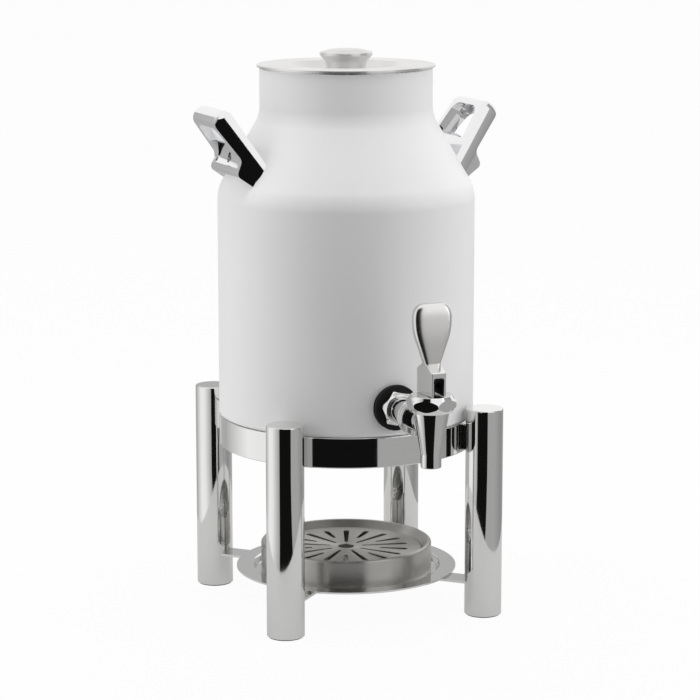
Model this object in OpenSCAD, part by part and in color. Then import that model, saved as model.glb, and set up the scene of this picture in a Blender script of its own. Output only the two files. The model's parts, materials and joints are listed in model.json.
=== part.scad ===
// Churn-shaped beverage urn on a stand, with a lever tap and a drip tray.
// The origin is on the urn's axis at the floor. The tap faces -Y and the handles lie on X.

/* [Stand] */
// Outer diameter of a leg tube
leg_d = 32; // [26:1:36]
// Wall of a leg tube
leg_wall = 2; // [1.5:0.5:3]
// Height of the leg tops above the floor
leg_h = 182; // [172:1:200]
// Gap between the support ring and a leg
leg_gap = 2.3; // [1.5:0.1:4]
// Thickness of the cap on a leg
leg_cap_t = 3; // [2:0.5:5]
// Depth of the cap's and the glide's spigots in the tube
leg_plug_depth = 8; // [5:1:15]
// Height of a foot glide below the tube
glide_t = 1; // [0.5:0.5:3]
// Radial step from the churn's wall in to the outside of the support ring
ring_step = 0.2; // [0:0.1:2]
// Wall of the support ring
ring_wall = 6; // [5:0.5:8]
// Height of the support ring
ring_h = 26; // [22:1:32]
// Height of the ring's lower edge above the floor
ring_z = 142.5; // [135:0.5:150]
// Diameter of the spacers between the ring and the legs
spacer_d = 12; // [10:1:20]
// Shank diameter of the ring screws
ring_screw_d = 6; // [4:1:6]

/* [Drip tray] */
// Diameter of the tray holder
holder_d = 193; // [188:1:200]
// Gap between the drip tray and the wall of the holder's recess
tray_gap = 5; // [3:0.5:8]
// Thickness of the holder sheet
holder_t = 1.5; // [1:0.5:2]
// Height of the holder's recess above the floor
holder_z = 25.5; // [15:0.5:30]
// Depth of the holder's recess
holder_depth = 4.4; // [3:0.2:8]
// Width of an arm between the holder and a leg
arm_w = 22; // [14:1:26]
// Thickness of an arm
arm_t = 2; // [1.5:0.5:3]
// Outer diameter of the drip tray
pan_d = 150; // [146:1:154]
// Height of the drip tray
pan_h = 25.7; // [22:0.1:32]
// Thickness of the tray sheet
pan_wall = 1.2; // [0.8:0.1:1.5]
// Depth of the grate's top below the tray's rim
grate_drop = 5.9; // [5:0.1:8]
// Thickness of the grate
grate_t = 1.5; // [1:0.5:2.5]
// Width of the tray's rim around the grate
rim_band = 9.1; // [8:0.1:11]
// Diameter of the grate's centre hole
grate_hole_d = 14.2; // [8:0.1:18]
// Number of long slots in the grate, with as many short ones between them
slot_pairs = 9; // [6:1:10]
// Outer reach of the slots from the grate's centre
slot_outer_r = 55; // [48:1:58]
// Inner reach of the long slots
slot_long_r = 14; // [12:1:20]
// Inner reach of the short slots
slot_short_r = 30; // [26:1:40]
// Width of a slot at its outer end
slot_outer_w = 5.2; // [3:0.1:6]
// Width of a slot at its inner end
slot_inner_w = 2.8; // [2:0.1:3]
// Direction of the first long slot, counted from +X
grate_turn = 68; // [0:1:359]

/* [Churn] */
// Outer diameter of the churn body
body_d = 221.4; // [216:0.2:230]
// Height of the straight wall, up to where the cone would meet it
body_wall_h = 196.6; // [160:0.2:240]
// Slope of the cone, from the vertical
cone_angle = 30; // [27:1:33]
// Outer diameter of the neck
neck_d = 148.2; // [144:0.2:154]
// Height of the neck above the cone
neck_h = 39.5; // [32:0.5:60]
// Wall of the outer shell
shell_wall = 1.5; // [1:0.1:2]
// Radius at the foot of the shell
foot_radius = 3; // [1:0.5:4]
// Radius where the wall turns into the cone
shoulder_radius = 32; // [15:1:40]
// Radius where the cone turns into the neck
neck_radius = 25; // [10:1:35]
// Width of the lip turned in at the foot of the shell
shell_lip_w = 20.7; // [18:0.1:26]
// Distance from the shell's outside to the tank's outside
tank_gap = 9; // [8:0.5:12]
// The same distance in the neck
tank_neck_gap = 5.5; // [5:0.1:6.5]
// Wall of the inner tank
tank_wall = 1.2; // [0.8:0.1:1.5]
// Height of the tank's floor above the shell's foot
tank_lift = 5.5; // [4.5:0.1:7]
// Radius at the tank's floor
tank_floor_radius = 5; // [3:0.5:6]
// Depth of the base plate's spigot in the ring
spigot_h = 10; // [6:1:20]
// Radial gap between the spigot and the ring
nest_gap = 1; // [0.4:0.1:2]
// Shank diameter of the base screws
base_screw_d = 4; // [3:1:5]

/* [Handles] */
// Lean of a handle from the vertical
handle_lean = 36; // [34:1:38]
// Width across the arms of a handle at its foot
handle_foot_w = 82; // [76:1:88]
// Width across a handle at its top
handle_top_w = 58; // [54:1:62]
// Length of a handle along its lean, above the screw's height
handle_reach = 53.5; // [50:0.5:60]
// Width of a handle's arms
handle_arm_w = 6.5; // [5:0.5:8]
// Thickness of the top bar along the lean
handle_bar_t = 7.5; // [6:0.5:9]
// Height of the handle screw on the cone, above the start of the cone
handle_screw_h = 25; // [23:0.5:27]
// Diameter of the screw hole in a handle's web
handle_hole_d = 8.5; // [8.4:0.1:10]
// Shank diameter of a handle screw
handle_screw_d = 5; // [4:0.5:5]

/* [Tap] */
// Height of the tap's shank above the shell's foot
tap_h = 25.1; // [24:0.1:40]
// Distance from the churn's wall to the tap barrel's axis
tap_reach = 74.6; // [72:0.1:90]
// Diameter of the shank
shank_d = 21; // [19:0.5:22]
// Bore of the shank
shank_bore_d = 13; // [9:0.5:14]
// Diameter of the black washer outside the shell
tap_washer_d = 38.4; // [34:0.2:42]
// Distance from the churn's wall to the outer face of the black washer
tap_washer_t = 4.3; // [3.3:0.1:6]
// Width across the corners of the hexagon nut
hex_nut_d = 31; // [29:0.5:34]
// Length of the hexagon nut
hex_nut_l = 8; // [6:0.5:10]
// Diameter of the coupling ring
coupling_d = 30.4; // [28:0.2:32]
// Length of the coupling ring
coupling_l = 12; // [9:0.5:14]
// Diameter of the barrel at the top of its cone
barrel_top_d = 28.8; // [27:0.2:31]
// Diameter of the spout
spout_d = 17; // [15:0.2:18]
// Bore of the spout
spout_bore_d = 12; // [8:0.5:12.5]
// Diameter of the valve chamber
chamber_d = 20; // [18:0.5:20.5]
// Width across the corners of the bonnet
bonnet_d = 42; // [40:0.5:46]
// Height of the bonnet
bonnet_h = 14.2; // [13:0.2:16]
// Diameter of the valve stem
stem_d = 6; // [5:0.2:6]
// Diameter of the seat cup
cup_d = 16; // [14:0.5:17]
// Turns of the return spring
spring_turns = 6; // [4:1:7]
// Wire diameter of the return spring
spring_wire_d = 1.2; // [0.8:0.1:1.3]
// Width of the lever's block
lever_w = 12.8; // [12:0.2:15]
// Depth of the lever's block
lever_depth = 30; // [26:1:31]
// Height of the lever's block
lever_block_h = 19.8; // [18:0.2:24]
// Width of the slot in the lever's block
lever_slot_w = 8.2; // [7.6:0.1:9]
// Width of the paddle
paddle_w = 31.5; // [26:0.5:36]
// Thickness of the paddle
paddle_t = 12; // [10:0.5:14]
// Height of the lever above the bonnet
lever_h = 74.7; // [66:0.1:90]
// Diameter of the lever's pin
pin_d = 3; // [2:0.5:3]

/* [Lid] */
// Diameter of the lid's flange
lid_d = 152.4; // [150:0.2:160]
// Thickness of the lid sheet
lid_t = 2; // [1.5:0.1:2.5]
// Diameter of the dish in the lid
dish_d = 98.2; // [90:0.2:104]
// Depth of the dish
dish_depth = 11.3; // [8:0.1:12]
// Depth of the lid's skirt in the neck
skirt_h = 14.3; // [12:0.1:18]
// Diameter of the knob's rim
knob_d = 45.2; // [40:0.2:50]
// Diameter of the knob's waist
knob_waist_d = 34; // [28:0.5:36]
// Height of the knob above its seat
knob_h = 24.5; // [20:0.1:28]
// Shank diameter of the lid screw
lid_screw_d = 5; // [4:0.5:6]

/* [Hidden] */

$fn = 64;
// Overshoot of a cutting tool past the face that it cuts
over = 1;
// Clearance of a thread or a spigot in its hole
fit = 0.05;
// Gap between curved faces that must not touch
clear = 0.3;
// Clearance of a screw in a drilled hole
drill = 0.2;

// Colours
polished = [0.82, 0.83, 0.84];
satin = [0.74, 0.74, 0.73];
brushed = [0.64, 0.63, 0.60];
powder_white = [0.95, 0.95, 0.94];
rubber_black = [0.06, 0.06, 0.06];
silicone_white = [0.85, 0.85, 0.82];
foam_cream = [0.93, 0.87, 0.68];

// Stand
leg_r = leg_d / 2;
leg_bore_r = leg_r - leg_wall;
ring_r = body_d / 2 - ring_step;
ring_bore_r = ring_r - ring_wall;
ring_top = ring_z + ring_h;
ring_edge = 1;
leg_centre = ring_r + leg_gap + leg_r;
screw_z = ring_z + ring_h / 2;
ring_screw_r = ring_screw_d / 2;
ring_head_r = ring_screw_d;
ring_head_h = ring_head_r - ring_screw_r;
// The head lies this far below the ring's inner face
ring_head_sink = 0.4;
ring_nut_t = 5;
ring_nut_r = ring_screw_d;
LEG_ANGLES = [-135, -45, 135, 45];

// Tray
holder_rim_z = holder_z + holder_depth;
pan_z = holder_z + holder_t;
pan_r = pan_d / 2;
recess_r = pan_r + tray_gap;
recess_slope_w = 3;
// The arms start this far outside the recess
arm_inner = recess_r + recess_slope_w + 1;
pan_top = pan_z + pan_h;
grate_top = pan_top - grate_drop;
grate_z = grate_top - grate_t;
grate_r = pan_r - rim_band;
// The pocket that centres the grate in the pan
pocket_r = grate_r + 0.4;
ledge_w = 5.5;
rim_w = 1.6;

// Churn
body_r = body_d / 2;
neck_r = neck_d / 2;
foot_z = ring_top;
shoulder_z = foot_z + body_wall_h;
neck_z = shoulder_z + (body_r - neck_r) / tan(cone_angle);
shell_top = neck_z + neck_h;
tank_r = body_r - tank_gap;
tank_neck_r = neck_r - tank_neck_gap;
tank_z = foot_z + tank_lift;
tank_shoulder_z = shoulder_z - tank_gap * tan(cone_angle / 2);
tank_neck_z = tank_shoulder_z + (tank_r - tank_neck_r) / tan(cone_angle);
tank_top = shell_top + tank_wall;
tank_bore_r = tank_r - tank_wall;
tank_neck_bore_r = tank_neck_r - tank_wall;
spigot_r = ring_bore_r - nest_gap;
spigot_wall = 1.5;
base_screw_r = base_screw_d / 2;
// The base screws pass midway between the lip's inner edge and the spigot's wall
lip_r = body_r - shell_lip_w;
base_circle = (lip_r + spigot_r - spigot_wall) / 2;
base_screw_l = 4.5;

SHELL_PATH = rounded([
    [lip_r, foot_z, 0],
    [body_r, foot_z, foot_radius],
    [body_r, shoulder_z, shoulder_radius],
    [neck_r, neck_z, neck_radius],
    [neck_r, shell_top, 0]
]);
TANK_PATH = rounded([
    [0, tank_z, 0],
    [tank_r, tank_z, tank_floor_radius],
    [tank_r, tank_shoulder_z, shoulder_radius - tank_gap / 2],
    [tank_neck_r, tank_neck_z, neck_radius],
    [tank_neck_r, shell_top, 0],
    [neck_r, shell_top, 0]
]);

// Handles, drawn in the plane of the handle's radius and height
handle_z = shoulder_z + handle_screw_h;
handle_r = body_r - handle_screw_h * tan(cone_angle);
handle_top_radius = 8;
handle_arch_radius = 11;
handle_drop = 30;
// Depth below the cone's surface to which a handle is drawn before the cone is cut away
handle_root = 20;
handle_hole_r = handle_hole_d / 2;
handle_screw_r = handle_screw_d / 2;
handle_head_r = handle_hole_r - 0.2;
handle_head_h = 3;
handle_head_z = 3.4;
handle_socket_r = 2.3;
handle_nut_r = 4.6;
handle_nut_t = 4;
handle_nut_seat = shell_wall + 0.2;
handle_screw_tail = handle_nut_seat + handle_nut_t + 1;

// Tap: distances from the urn's axis are measured along -Y
coupling_setback = 37;
spout_drop = 35.2;
cone_drop = 23.8;
tap_z = foot_z + tap_h;
shank_r = shank_d / 2;
shank_bore_r = shank_bore_d / 2;
tap_axis = body_r + tap_reach;
washer_r = tap_washer_d / 2;
washer_face = body_r + tap_washer_t;
wall_hole_r = shank_r + clear;
hex_nut_end = washer_face + hex_nut_l;
inner_washer_r = 14;
inner_washer_face = tank_bore_r - 3;
back_nut_l = 5;
back_nut_end = inner_washer_face - back_nut_l;
back_nut_r = 14;
shank_start = back_nut_end - 3;
coupling_start = tap_axis - coupling_setback;
coupling_r = coupling_d / 2;
// The shank and the barrel's tail meet under the coupling ring
shank_end = coupling_start + coupling_l / 2;
barrel_top_r = barrel_top_d / 2;
spout_r = spout_d / 2;
spout_bore_r = spout_bore_d / 2;
chamber_r = chamber_d / 2;
seat_z = tap_z - 7.6;
bonnet_z = tap_z + shank_r + 0.6;
bonnet_top = bonnet_z + bonnet_h;
barrel_neck_r = chamber_r + 2;
barrel_neck_h = 6.8;
bonnet_bore_h = 7.3;
cone_top_z = bonnet_z - 2;
cone_foot_z = tap_z - cone_drop;
spout_z = tap_z - spout_drop;
bonnet_r = bonnet_d / 2;
bonnet_chamfer = 4.2;
stem_r = stem_d / 2;
cup_r = cup_d / 2;
cup_z = seat_z + clear;
cup_h = 5.8;
collar_t = 1.2;
collar_r = cup_r - 1.5;
collar_z = cup_z + cup_h;
spring_low = collar_z + collar_t + 0.2;
spring_high = bonnet_z + bonnet_bore_h - 0.1;
spring_r = collar_r - 1.4;
spring_wire_r = spring_wire_d / 2;
lever_z = bonnet_top + clear;
pin_z = lever_z + 6.3;
pin_r = pin_d / 2;
eye_r = pin_r + 1.9;
eye_w = lever_slot_w - 3.2;
lever_top = bonnet_top + lever_h;
lever_neck_z = lever_z + lever_block_h + 5.6;
lever_neck_w = lever_w;
lever_neck_t = 9;
slot_top = pin_z + eye_r + 1.3;

// Lid
lid_z = tank_top;
lid_r = lid_d / 2;
lid_top = lid_z + lid_t;
dish_r = dish_d / 2;
dish_z = lid_top - dish_depth;
skirt_z = lid_z - skirt_h;
skirt_r = tank_neck_bore_r - 1;
skirt_wall = 2;
gasket_r = tank_neck_bore_r - clear;
gasket_h = 4;
gasket_z = skirt_z + 3;
groove_depth = 1.2;
knob_r = knob_d / 2;
knob_waist_r = knob_waist_d / 2;
lid_screw_r = lid_screw_d / 2;
lid_washer_r = lid_screw_r + 5;
lid_washer_t = 1.5;
lid_head_r = lid_screw_r + 2;
lid_head_h = 3.5;
lid_screw_reach = 10;

// Direction from point a to point b
function heading(a, b) = (b - a) / norm(b - a);

// Point of a list that gives a corner with its radius
function flat(p) = [p.x, p.y];

// Arc of radius r that rounds corner b between points a and c
function corner(a, b, c, r, n) =
    let (u = heading(b, a), v = heading(b, c), half = acos(max(-1, min(1, u * v))) / 2)
    r == 0 ? [b] :
    let (
        centre = b + heading([0, 0], u + v) * r / sin(half),
        from = b + u * r / tan(half) - centre,
        to = b + v * r / tan(half) - centre,
        start = atan2(from.y, from.x),
        turn = atan2(from.x * to.y - from.y * to.x, from * to)
    )
    [for (i = [0:n]) centre + r * [cos(start + turn * i / n), sin(start + turn * i / n)]];

// Open path through the points [x, y, radius], with its inner corners rounded
function rounded(p, n = 6) = [
    for (i = [0:len(p) - 1])
        each (i == 0 || i == len(p) - 1)
            ? [flat(p[i])]
            : corner(flat(p[i - 1]), flat(p[i]), flat(p[i + 1]), p[i].z, n)
];

// Closed outline through the points [x, y, radius], with every corner rounded
function rounded_loop(p, n = 6) =
    let (last = len(p) - 1)
    [
        for (i = [0:last])
            each corner(flat(p[i == 0 ? last : i - 1]), flat(p[i]), flat(p[i == last ? 0 : i + 1]), p[i].z, n)
    ];

// Normal on the left of the way from a to b
function left_of(a, b) = let (u = heading(a, b)) [-u.y, u.x];

// Path that runs beside path p, at distance d on its left
function beside(p, d) =
    let (last = len(p) - 1)
    [
        for (i = [0:last])
            let (m = left_of(p[max(i - 1, 0)], p[max(i, 1)]) + left_of(p[min(i, last - 1)], p[min(i + 1, last)]))
            p[i] + m * d * 2 / (m * m)
    ];

function reversed(p) = [for (i = [len(p) - 1:-1:0]) p[i]];

// Section of a sheet of thickness t on the left of path p
function sheet(p, t) = concat(p, reversed(beside(p, t)));

// Part of a path that lies at or above a height
function above(p, z) = [for (q = p) if (q.y >= z) q];

// Cylinder along the axis from height z0 to height z1, with finer facets on a large one
module rod(r, z0, z1) {
    translate([0, 0, z0])
        cylinder(r = r, h = z1 - z0, $fn = r > 50 ? 192 : 64);
}

// Hexagon along the axis from height z0 to height z1, with r across its corners
module hexagon(r, z0, z1) {
    translate([0, 0, z0])
        cylinder(r = r, h = z1 - z0, $fn = 6);
}

// Turned shape with a closed outline of points [radius, height]
module turned(outline) {
    rotate_extrude($fn = 96)
        polygon(outline);
}

// Shape drawn in the plane of X and Z, as thick as w along Y
module upright(w) {
    rotate([90, 0, 0])
        linear_extrude(height = w, center = true)
            children();
}

// Frame of a leg's screw: its Z runs out from the urn's axis at the screw's height
module at_leg_screw(angle) {
    rotate([0, 0, angle])
        translate([0, 0, screw_z])
            rotate([0, 90, 0])
                children();
}

module at_leg(angle) {
    rotate([0, 0, angle])
        translate([leg_centre, 0, 0])
            children();
}

// Solid cone under the handles, which reaches past the bends at both of its ends
module cone_space() {
    reach = 20;
    translate([0, 0, shoulder_z - reach])
        cylinder(
            r1 = body_r + reach * tan(cone_angle),
            r2 = neck_r,
            h = neck_z - shoulder_z + reach,
            $fn = 192
        );
}

module leg(angle) {
    color(polished)
        difference() {
            at_leg(angle)
                rod(leg_r, glide_t, leg_h - leg_cap_t);
            at_leg(angle)
                rod(leg_bore_r, glide_t - over, leg_h - leg_cap_t + over);
            at_leg_screw(angle)
                rod(ring_screw_r + drill, ring_r, leg_centre);
        }
}

module leg_cap(angle) {
    edge = 1.2;
    color(polished)
        at_leg(angle)
            turned(rounded_loop([
                [0, leg_h, 0],
                [leg_r, leg_h, edge],
                [leg_r, leg_h - leg_cap_t, 0],
                [leg_bore_r - fit, leg_h - leg_cap_t, 0],
                [leg_bore_r - fit, leg_h - leg_cap_t - leg_plug_depth, 0],
                [0, leg_h - leg_cap_t - leg_plug_depth, 0]
            ]));
}

module foot_glide(angle) {
    inset = 0.8;
    color(rubber_black)
        at_leg(angle)
            turned([
                [0, 0],
                [leg_r - inset - glide_t / 2, 0],
                [leg_r - inset, glide_t / 2],
                [leg_r - inset, glide_t],
                [leg_bore_r - fit, glide_t],
                [leg_bore_r - fit, glide_t + leg_plug_depth],
                [0, glide_t + leg_plug_depth]
            ]);
}

module support_ring() {
    color(polished)
        difference() {
            turned(rounded_loop([
                [ring_bore_r, ring_z, ring_edge],
                [ring_r, ring_z, ring_edge],
                [ring_r, ring_top, ring_edge],
                [ring_bore_r, ring_top, ring_edge]
            ]));
            for (angle = LEG_ANGLES)
                at_leg_screw(angle) {
                    rod(ring_screw_r + drill, ring_bore_r - over, ring_r + over);
                    rod(ring_head_r + drill, ring_bore_r - over, ring_bore_r + ring_head_sink);
                    translate([0, 0, ring_bore_r + ring_head_sink])
                        cylinder(r1 = ring_head_r + drill, r2 = ring_screw_r + drill, h = ring_head_h);
                }
        }
}

module ring_spacers() {
    color(polished)
        for (angle = LEG_ANGLES)
            difference() {
                at_leg_screw(angle)
                    rod(spacer_d / 2, ring_r - 2, ring_r + leg_gap + leg_r / 2);
                rod(ring_r, ring_z - over, ring_top + over);
                at_leg(angle)
                    rod(leg_r, ring_z - over, ring_top + over);
                at_leg_screw(angle)
                    rod(ring_screw_r + drill, ring_bore_r, leg_centre);
            }
}

module ring_screws() {
    head_z = ring_bore_r + ring_head_sink;
    socket_r = ring_screw_r * 0.75;
    color(satin)
        for (angle = LEG_ANGLES)
            at_leg_screw(angle)
                difference() {
                    union() {
                        translate([0, 0, head_z])
                            cylinder(r1 = ring_head_r, r2 = ring_screw_r, h = ring_head_h);
                        rod(ring_screw_r, head_z, leg_centre - leg_bore_r + ring_nut_t + 3);
                    }
                    hexagon(socket_r, head_z - over, head_z + ring_head_h * 0.7);
                }
}

module ring_nuts() {
    color(satin)
        for (angle = LEG_ANGLES)
            difference() {
                intersection() {
                    at_leg_screw(angle)
                        hexagon(ring_nut_r, leg_centre - leg_bore_r - 1, leg_centre - leg_bore_r + ring_nut_t);
                    at_leg(angle)
                        rod(leg_bore_r - fit, ring_z, ring_top);
                }
                at_leg_screw(angle)
                    rod(ring_screw_r + fit, ring_r, leg_centre);
            }
}

module tray_arm(angle) {
    length = leg_centre - arm_inner;
    color(polished)
        difference() {
            rotate([0, 0, angle])
                translate([arm_inner, -arm_w / 2, holder_rim_z - arm_t])
                    cube([length, arm_w, arm_t]);
            at_leg(angle)
                rod(leg_r, holder_z - over, holder_rim_z + over);
        }
}

module tray_holder() {
    bend = 1.5;
    path = rounded([
        [0, holder_z, 0],
        [recess_r, holder_z, bend],
        [recess_r + recess_slope_w, holder_rim_z, bend],
        [holder_d / 2, holder_rim_z, 0]
    ]);
    color(polished)
        turned(sheet(path, holder_t));
}

module tray_pan() {
    bend = 1.3;
    path = rounded([
        [0, pan_z, 0],
        [pocket_r + pan_wall - ledge_w, pan_z, 4],
        [pocket_r + pan_wall - ledge_w, grate_z - pan_wall, bend],
        [pocket_r + pan_wall, grate_z - pan_wall, bend],
        [pocket_r + pan_wall, grate_top - 0.6, 0],
        [pan_r - pan_wall - rim_w, pan_top - pan_wall, bend],
        [pan_r - pan_wall, pan_top - pan_wall, 0],
        [pan_r - pan_wall, pan_z, 0]
    ]);
    color(brushed)
        turned(sheet(path, pan_wall));
}

// Slot along X with round ends, as wide as w0 at its inner and w1 at its outer end
module grate_slot(inner) {
    steps = 6;
    r0 = slot_inner_w / 2;
    r1 = slot_outer_w / 2;
    polygon(concat(
        [for (i = [0:steps]) [inner + r0, 0] + r0 * [cos(90 + 180 * i / steps), sin(90 + 180 * i / steps)]],
        [for (i = [0:steps]) [slot_outer_r - r1, 0] + r1 * [cos(-90 + 180 * i / steps), sin(-90 + 180 * i / steps)]]
    ));
}

module tray_grate() {
    pitch = 180 / slot_pairs;
    color(brushed)
        translate([0, 0, grate_z])
            rotate([0, 0, grate_turn])
                linear_extrude(height = grate_t)
                    difference() {
                        circle(r = grate_r);
                        circle(d = grate_hole_d);
                        for (i = [0:2 * slot_pairs - 1])
                            rotate([0, 0, i * pitch])
                                grate_slot(i % 2 == 0 ? slot_long_r : slot_short_r);
                    }
}

// Frame along the tap's shank: its Z runs out from the urn's axis to the front
module along_shank() {
    translate([0, 0, tap_z])
        rotate([90, 0, 0])
            children();
}

// Frame of the tap's upright parts
module at_barrel() {
    translate([0, -tap_axis, 0])
        children();
}

// Frame of a handle: side is 1 for the right and -1 for the left
module at_handle(side) {
    rotate([0, 0, side > 0 ? 0 : 180])
        translate([handle_r, 0, handle_z])
            children();
}

// Frame of a handle's screw: its Z leaves the cone at a right angle
module at_handle_screw(side) {
    at_handle(side)
        rotate([0, 90 - cone_angle, 0])
            children();
}

module outer_shell() {
    color(powder_white)
        difference() {
            turned(sheet(SHELL_PATH, shell_wall));
            along_shank()
                rod(wall_hole_r, tank_r, body_r + over);
            for (side = [-1, 1])
                at_handle_screw(side)
                    rod(handle_screw_r + drill, -shell_wall - over, over);
            for (i = [0:3])
                rotate([0, 0, 90 * i])
                    translate([base_circle, 0, 0])
                        rod(base_screw_r + fit, foot_z - over, foot_z + shell_wall + over);
        }
}

module inner_tank() {
    color(satin)
        difference() {
            turned(sheet(TANK_PATH, tank_wall));
            along_shank()
                rod(wall_hole_r, tank_r / 2, body_r);
        }
}

module insulation() {
    outside = above(beside(SHELL_PATH, shell_wall + clear), foot_z + shell_wall + foot_radius);
    inside = beside(above(TANK_PATH, tank_z), -clear);
    top = shell_top - 2;
    floor_z = foot_z + shell_wall + clear;
    color(foam_cream)
        difference() {
            intersection() {
                turned(concat(
                    [[0, floor_z], [body_r - shell_wall - foot_radius, floor_z]],
                    [for (q = outside) if (q.y < top) q],
                    [[neck_r - shell_wall - clear, top], [tank_neck_r + clear, top]],
                    reversed([for (q = inside) if (q.y < top && q.x <= tank_r + clear) q])
                ));
                rod(body_r, foot_z, top);
            }
            along_shank()
                rod(wall_hole_r, tank_r / 2, body_r);
            for (side = [-1, 1])
                at_handle_screw(side)
                    rod(handle_nut_r + 2, -tank_gap, over);
            for (i = [0:3])
                rotate([0, 0, 90 * i])
                    translate([base_circle, 0, 0])
                        rod(base_screw_r + 1, foot_z, foot_z + base_screw_l + over);
        }
}

module base_plate() {
    path = rounded([
        [spigot_r, foot_z - spigot_h, 0],
        [spigot_r, foot_z, 2],
        [0, foot_z, 0]
    ]);
    color(satin)
        difference() {
            turned(sheet(path, spigot_wall));
            for (i = [0:3])
                rotate([0, 0, 90 * i])
                    translate([base_circle, 0, 0])
                        rod(base_screw_r + drill, foot_z - spigot_wall - over, foot_z + over);
        }
}

module base_screws() {
    head_h = 2.4;
    color(satin)
        for (i = [0:3])
            rotate([0, 0, 90 * i])
                translate([base_circle, 0, 0])
                    difference() {
                        union() {
                            rod(base_screw_r * 1.9, foot_z - spigot_wall - head_h, foot_z - spigot_wall);
                            rod(base_screw_r, foot_z - spigot_wall - head_h, foot_z + base_screw_l - spigot_wall);
                        }
                        hexagon(base_screw_r * 0.7, foot_z - spigot_wall - head_h - over, foot_z - spigot_wall - 1);
                    }
}

// Side outline of a handle's arms, from the screw's place on the cone
module handle_side() {
    top_u = handle_reach * [sin(handle_lean), cos(handle_lean)];
    across = [cos(handle_lean), -sin(handle_lean)];
    inner_top = top_u - 12.4 * across;
    outer_top = top_u + 5.6 * across;
    polygon(rounded_loop([
        [-handle_root, -18, 0],
        [0.8, -16.6, 0],
        [15.4, -6.6, 5],
        [10.6, 6.4, 6],
        [outer_top.x, outer_top.y, 5.5],
        [inner_top.x, inner_top.y, 4.5],
        [-11.5, -1, 0],
        [-handle_root, -10, 0]
    ]));
}

// Side outline of the web that joins the arms at the foot and holds the screw. Below its lip
// it reaches past the arms, so that the foot keeps their outline there
module handle_web() {
    polygon(rounded_loop([
        [-handle_root, -handle_drop, 0],
        [handle_drop, -handle_drop, 0],
        [handle_drop, -4.5, 0],
        [12.8, -1, 4],
        [9.2, 6, 10],
        [10.2, 17, 1.2],
        [-1.2, 17.5, 1.2],
        [-handle_root, 0, 0]
    ]));
}

// Front outline of a handle, inset for its opening
module handle_front(inset, top, radius) {
    slope = (handle_foot_w - handle_top_w) / 2 / (handle_reach + handle_drop / 2);
    low_w = handle_top_w / 2 + slope * (handle_reach + handle_drop) - inset;
    high_w = handle_top_w / 2 + slope * (handle_reach - top) - inset;
    polygon(rounded_loop([
        [-low_w, -handle_drop, 0],
        [low_w, -handle_drop, 0],
        [high_w, top, radius],
        [-high_w, top, radius]
    ]));
}

// Shape drawn on a handle's front, extruded through its depth
module along_handle() {
    depth = 90;
    rotate([0, handle_lean, 0])
        rotate([90, 0, 90])
            linear_extrude(height = depth, center = true)
                children();
}

module handle(side) {
    color(polished)
        difference() {
            at_handle(side)
                difference() {
                    intersection() {
                        upright(handle_foot_w + 20)
                            handle_side();
                        along_handle()
                            handle_front(0, handle_reach + over, handle_top_radius);
                    }
                    difference() {
                        along_handle()
                            handle_front(handle_arm_w, handle_reach - handle_bar_t, handle_arch_radius);
                        upright(handle_foot_w + 20)
                            handle_web();
                    }
                }
            cone_space();
            at_handle_screw(side) {
                rod(handle_screw_r + drill, -over, 20);
                rod(handle_hole_r, handle_head_z, handle_drop);
            }
        }
}

module handle_screws() {
    color(satin)
        for (side = [-1, 1])
            at_handle_screw(side)
                difference() {
                    union() {
                        rod(handle_head_r, handle_head_z, handle_head_z + handle_head_h);
                        rod(handle_screw_r, -handle_screw_tail, handle_head_z + 1);
                    }
                    hexagon(handle_socket_r, handle_head_z + 1.2, handle_head_z + handle_head_h + over);
                }
}

module handle_nuts() {
    color(satin)
        for (side = [-1, 1])
            at_handle_screw(side)
                difference() {
                    hexagon(handle_nut_r, -handle_nut_seat - handle_nut_t, -handle_nut_seat);
                    rod(handle_screw_r + fit, -handle_nut_seat - handle_nut_t - over, 0);
                }
}

module tap_washer() {
    edge = 1;
    color(rubber_black)
        difference() {
            along_shank()
                turned(rounded_loop([
                    [0, tank_r, 0],
                    [washer_r, tank_r, 0],
                    [washer_r, washer_face, edge],
                    [0, washer_face, 0]
                ]));
            rod(body_r, foot_z, shoulder_z);
            along_shank()
                rod(wall_hole_r, tank_r - over, washer_face + over);
        }
}

module tap_inner_washer() {
    color(silicone_white)
        difference() {
            intersection() {
                along_shank()
                    rod(inner_washer_r, inner_washer_face, tank_r);
                rod(tank_bore_r - fit, tank_z, tank_shoulder_z);
            }
            along_shank()
                rod(wall_hole_r, tank_r / 2, tank_r + over);
        }
}

module tap_back_nut() {
    color(satin)
        along_shank()
            difference() {
                hexagon(back_nut_r, back_nut_end, inner_washer_face);
                rod(shank_r + fit, back_nut_end - over, inner_washer_face + over);
            }
}

module tap_hex_nut() {
    chamfer = 2.4;
    nut_r = hex_nut_d / 2;
    color(polished)
        along_shank()
            difference() {
                intersection() {
                    rotate([0, 0, 10])
                        hexagon(nut_r, washer_face, hex_nut_end);
                    turned([
                        [0, washer_face],
                        [nut_r + over, washer_face],
                        [nut_r + over, hex_nut_end - chamfer / 2 - over / 2],
                        [nut_r - chamfer, hex_nut_end],
                        [0, hex_nut_end]
                    ]);
                }
                rod(shank_r + fit, washer_face - over, hex_nut_end + over);
            }
}

module tap_shank() {
    color(polished)
        along_shank()
            difference() {
                rod(shank_r, shank_start, shank_end);
                rod(shank_bore_r, shank_start - over, shank_end + over);
            }
}

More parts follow.
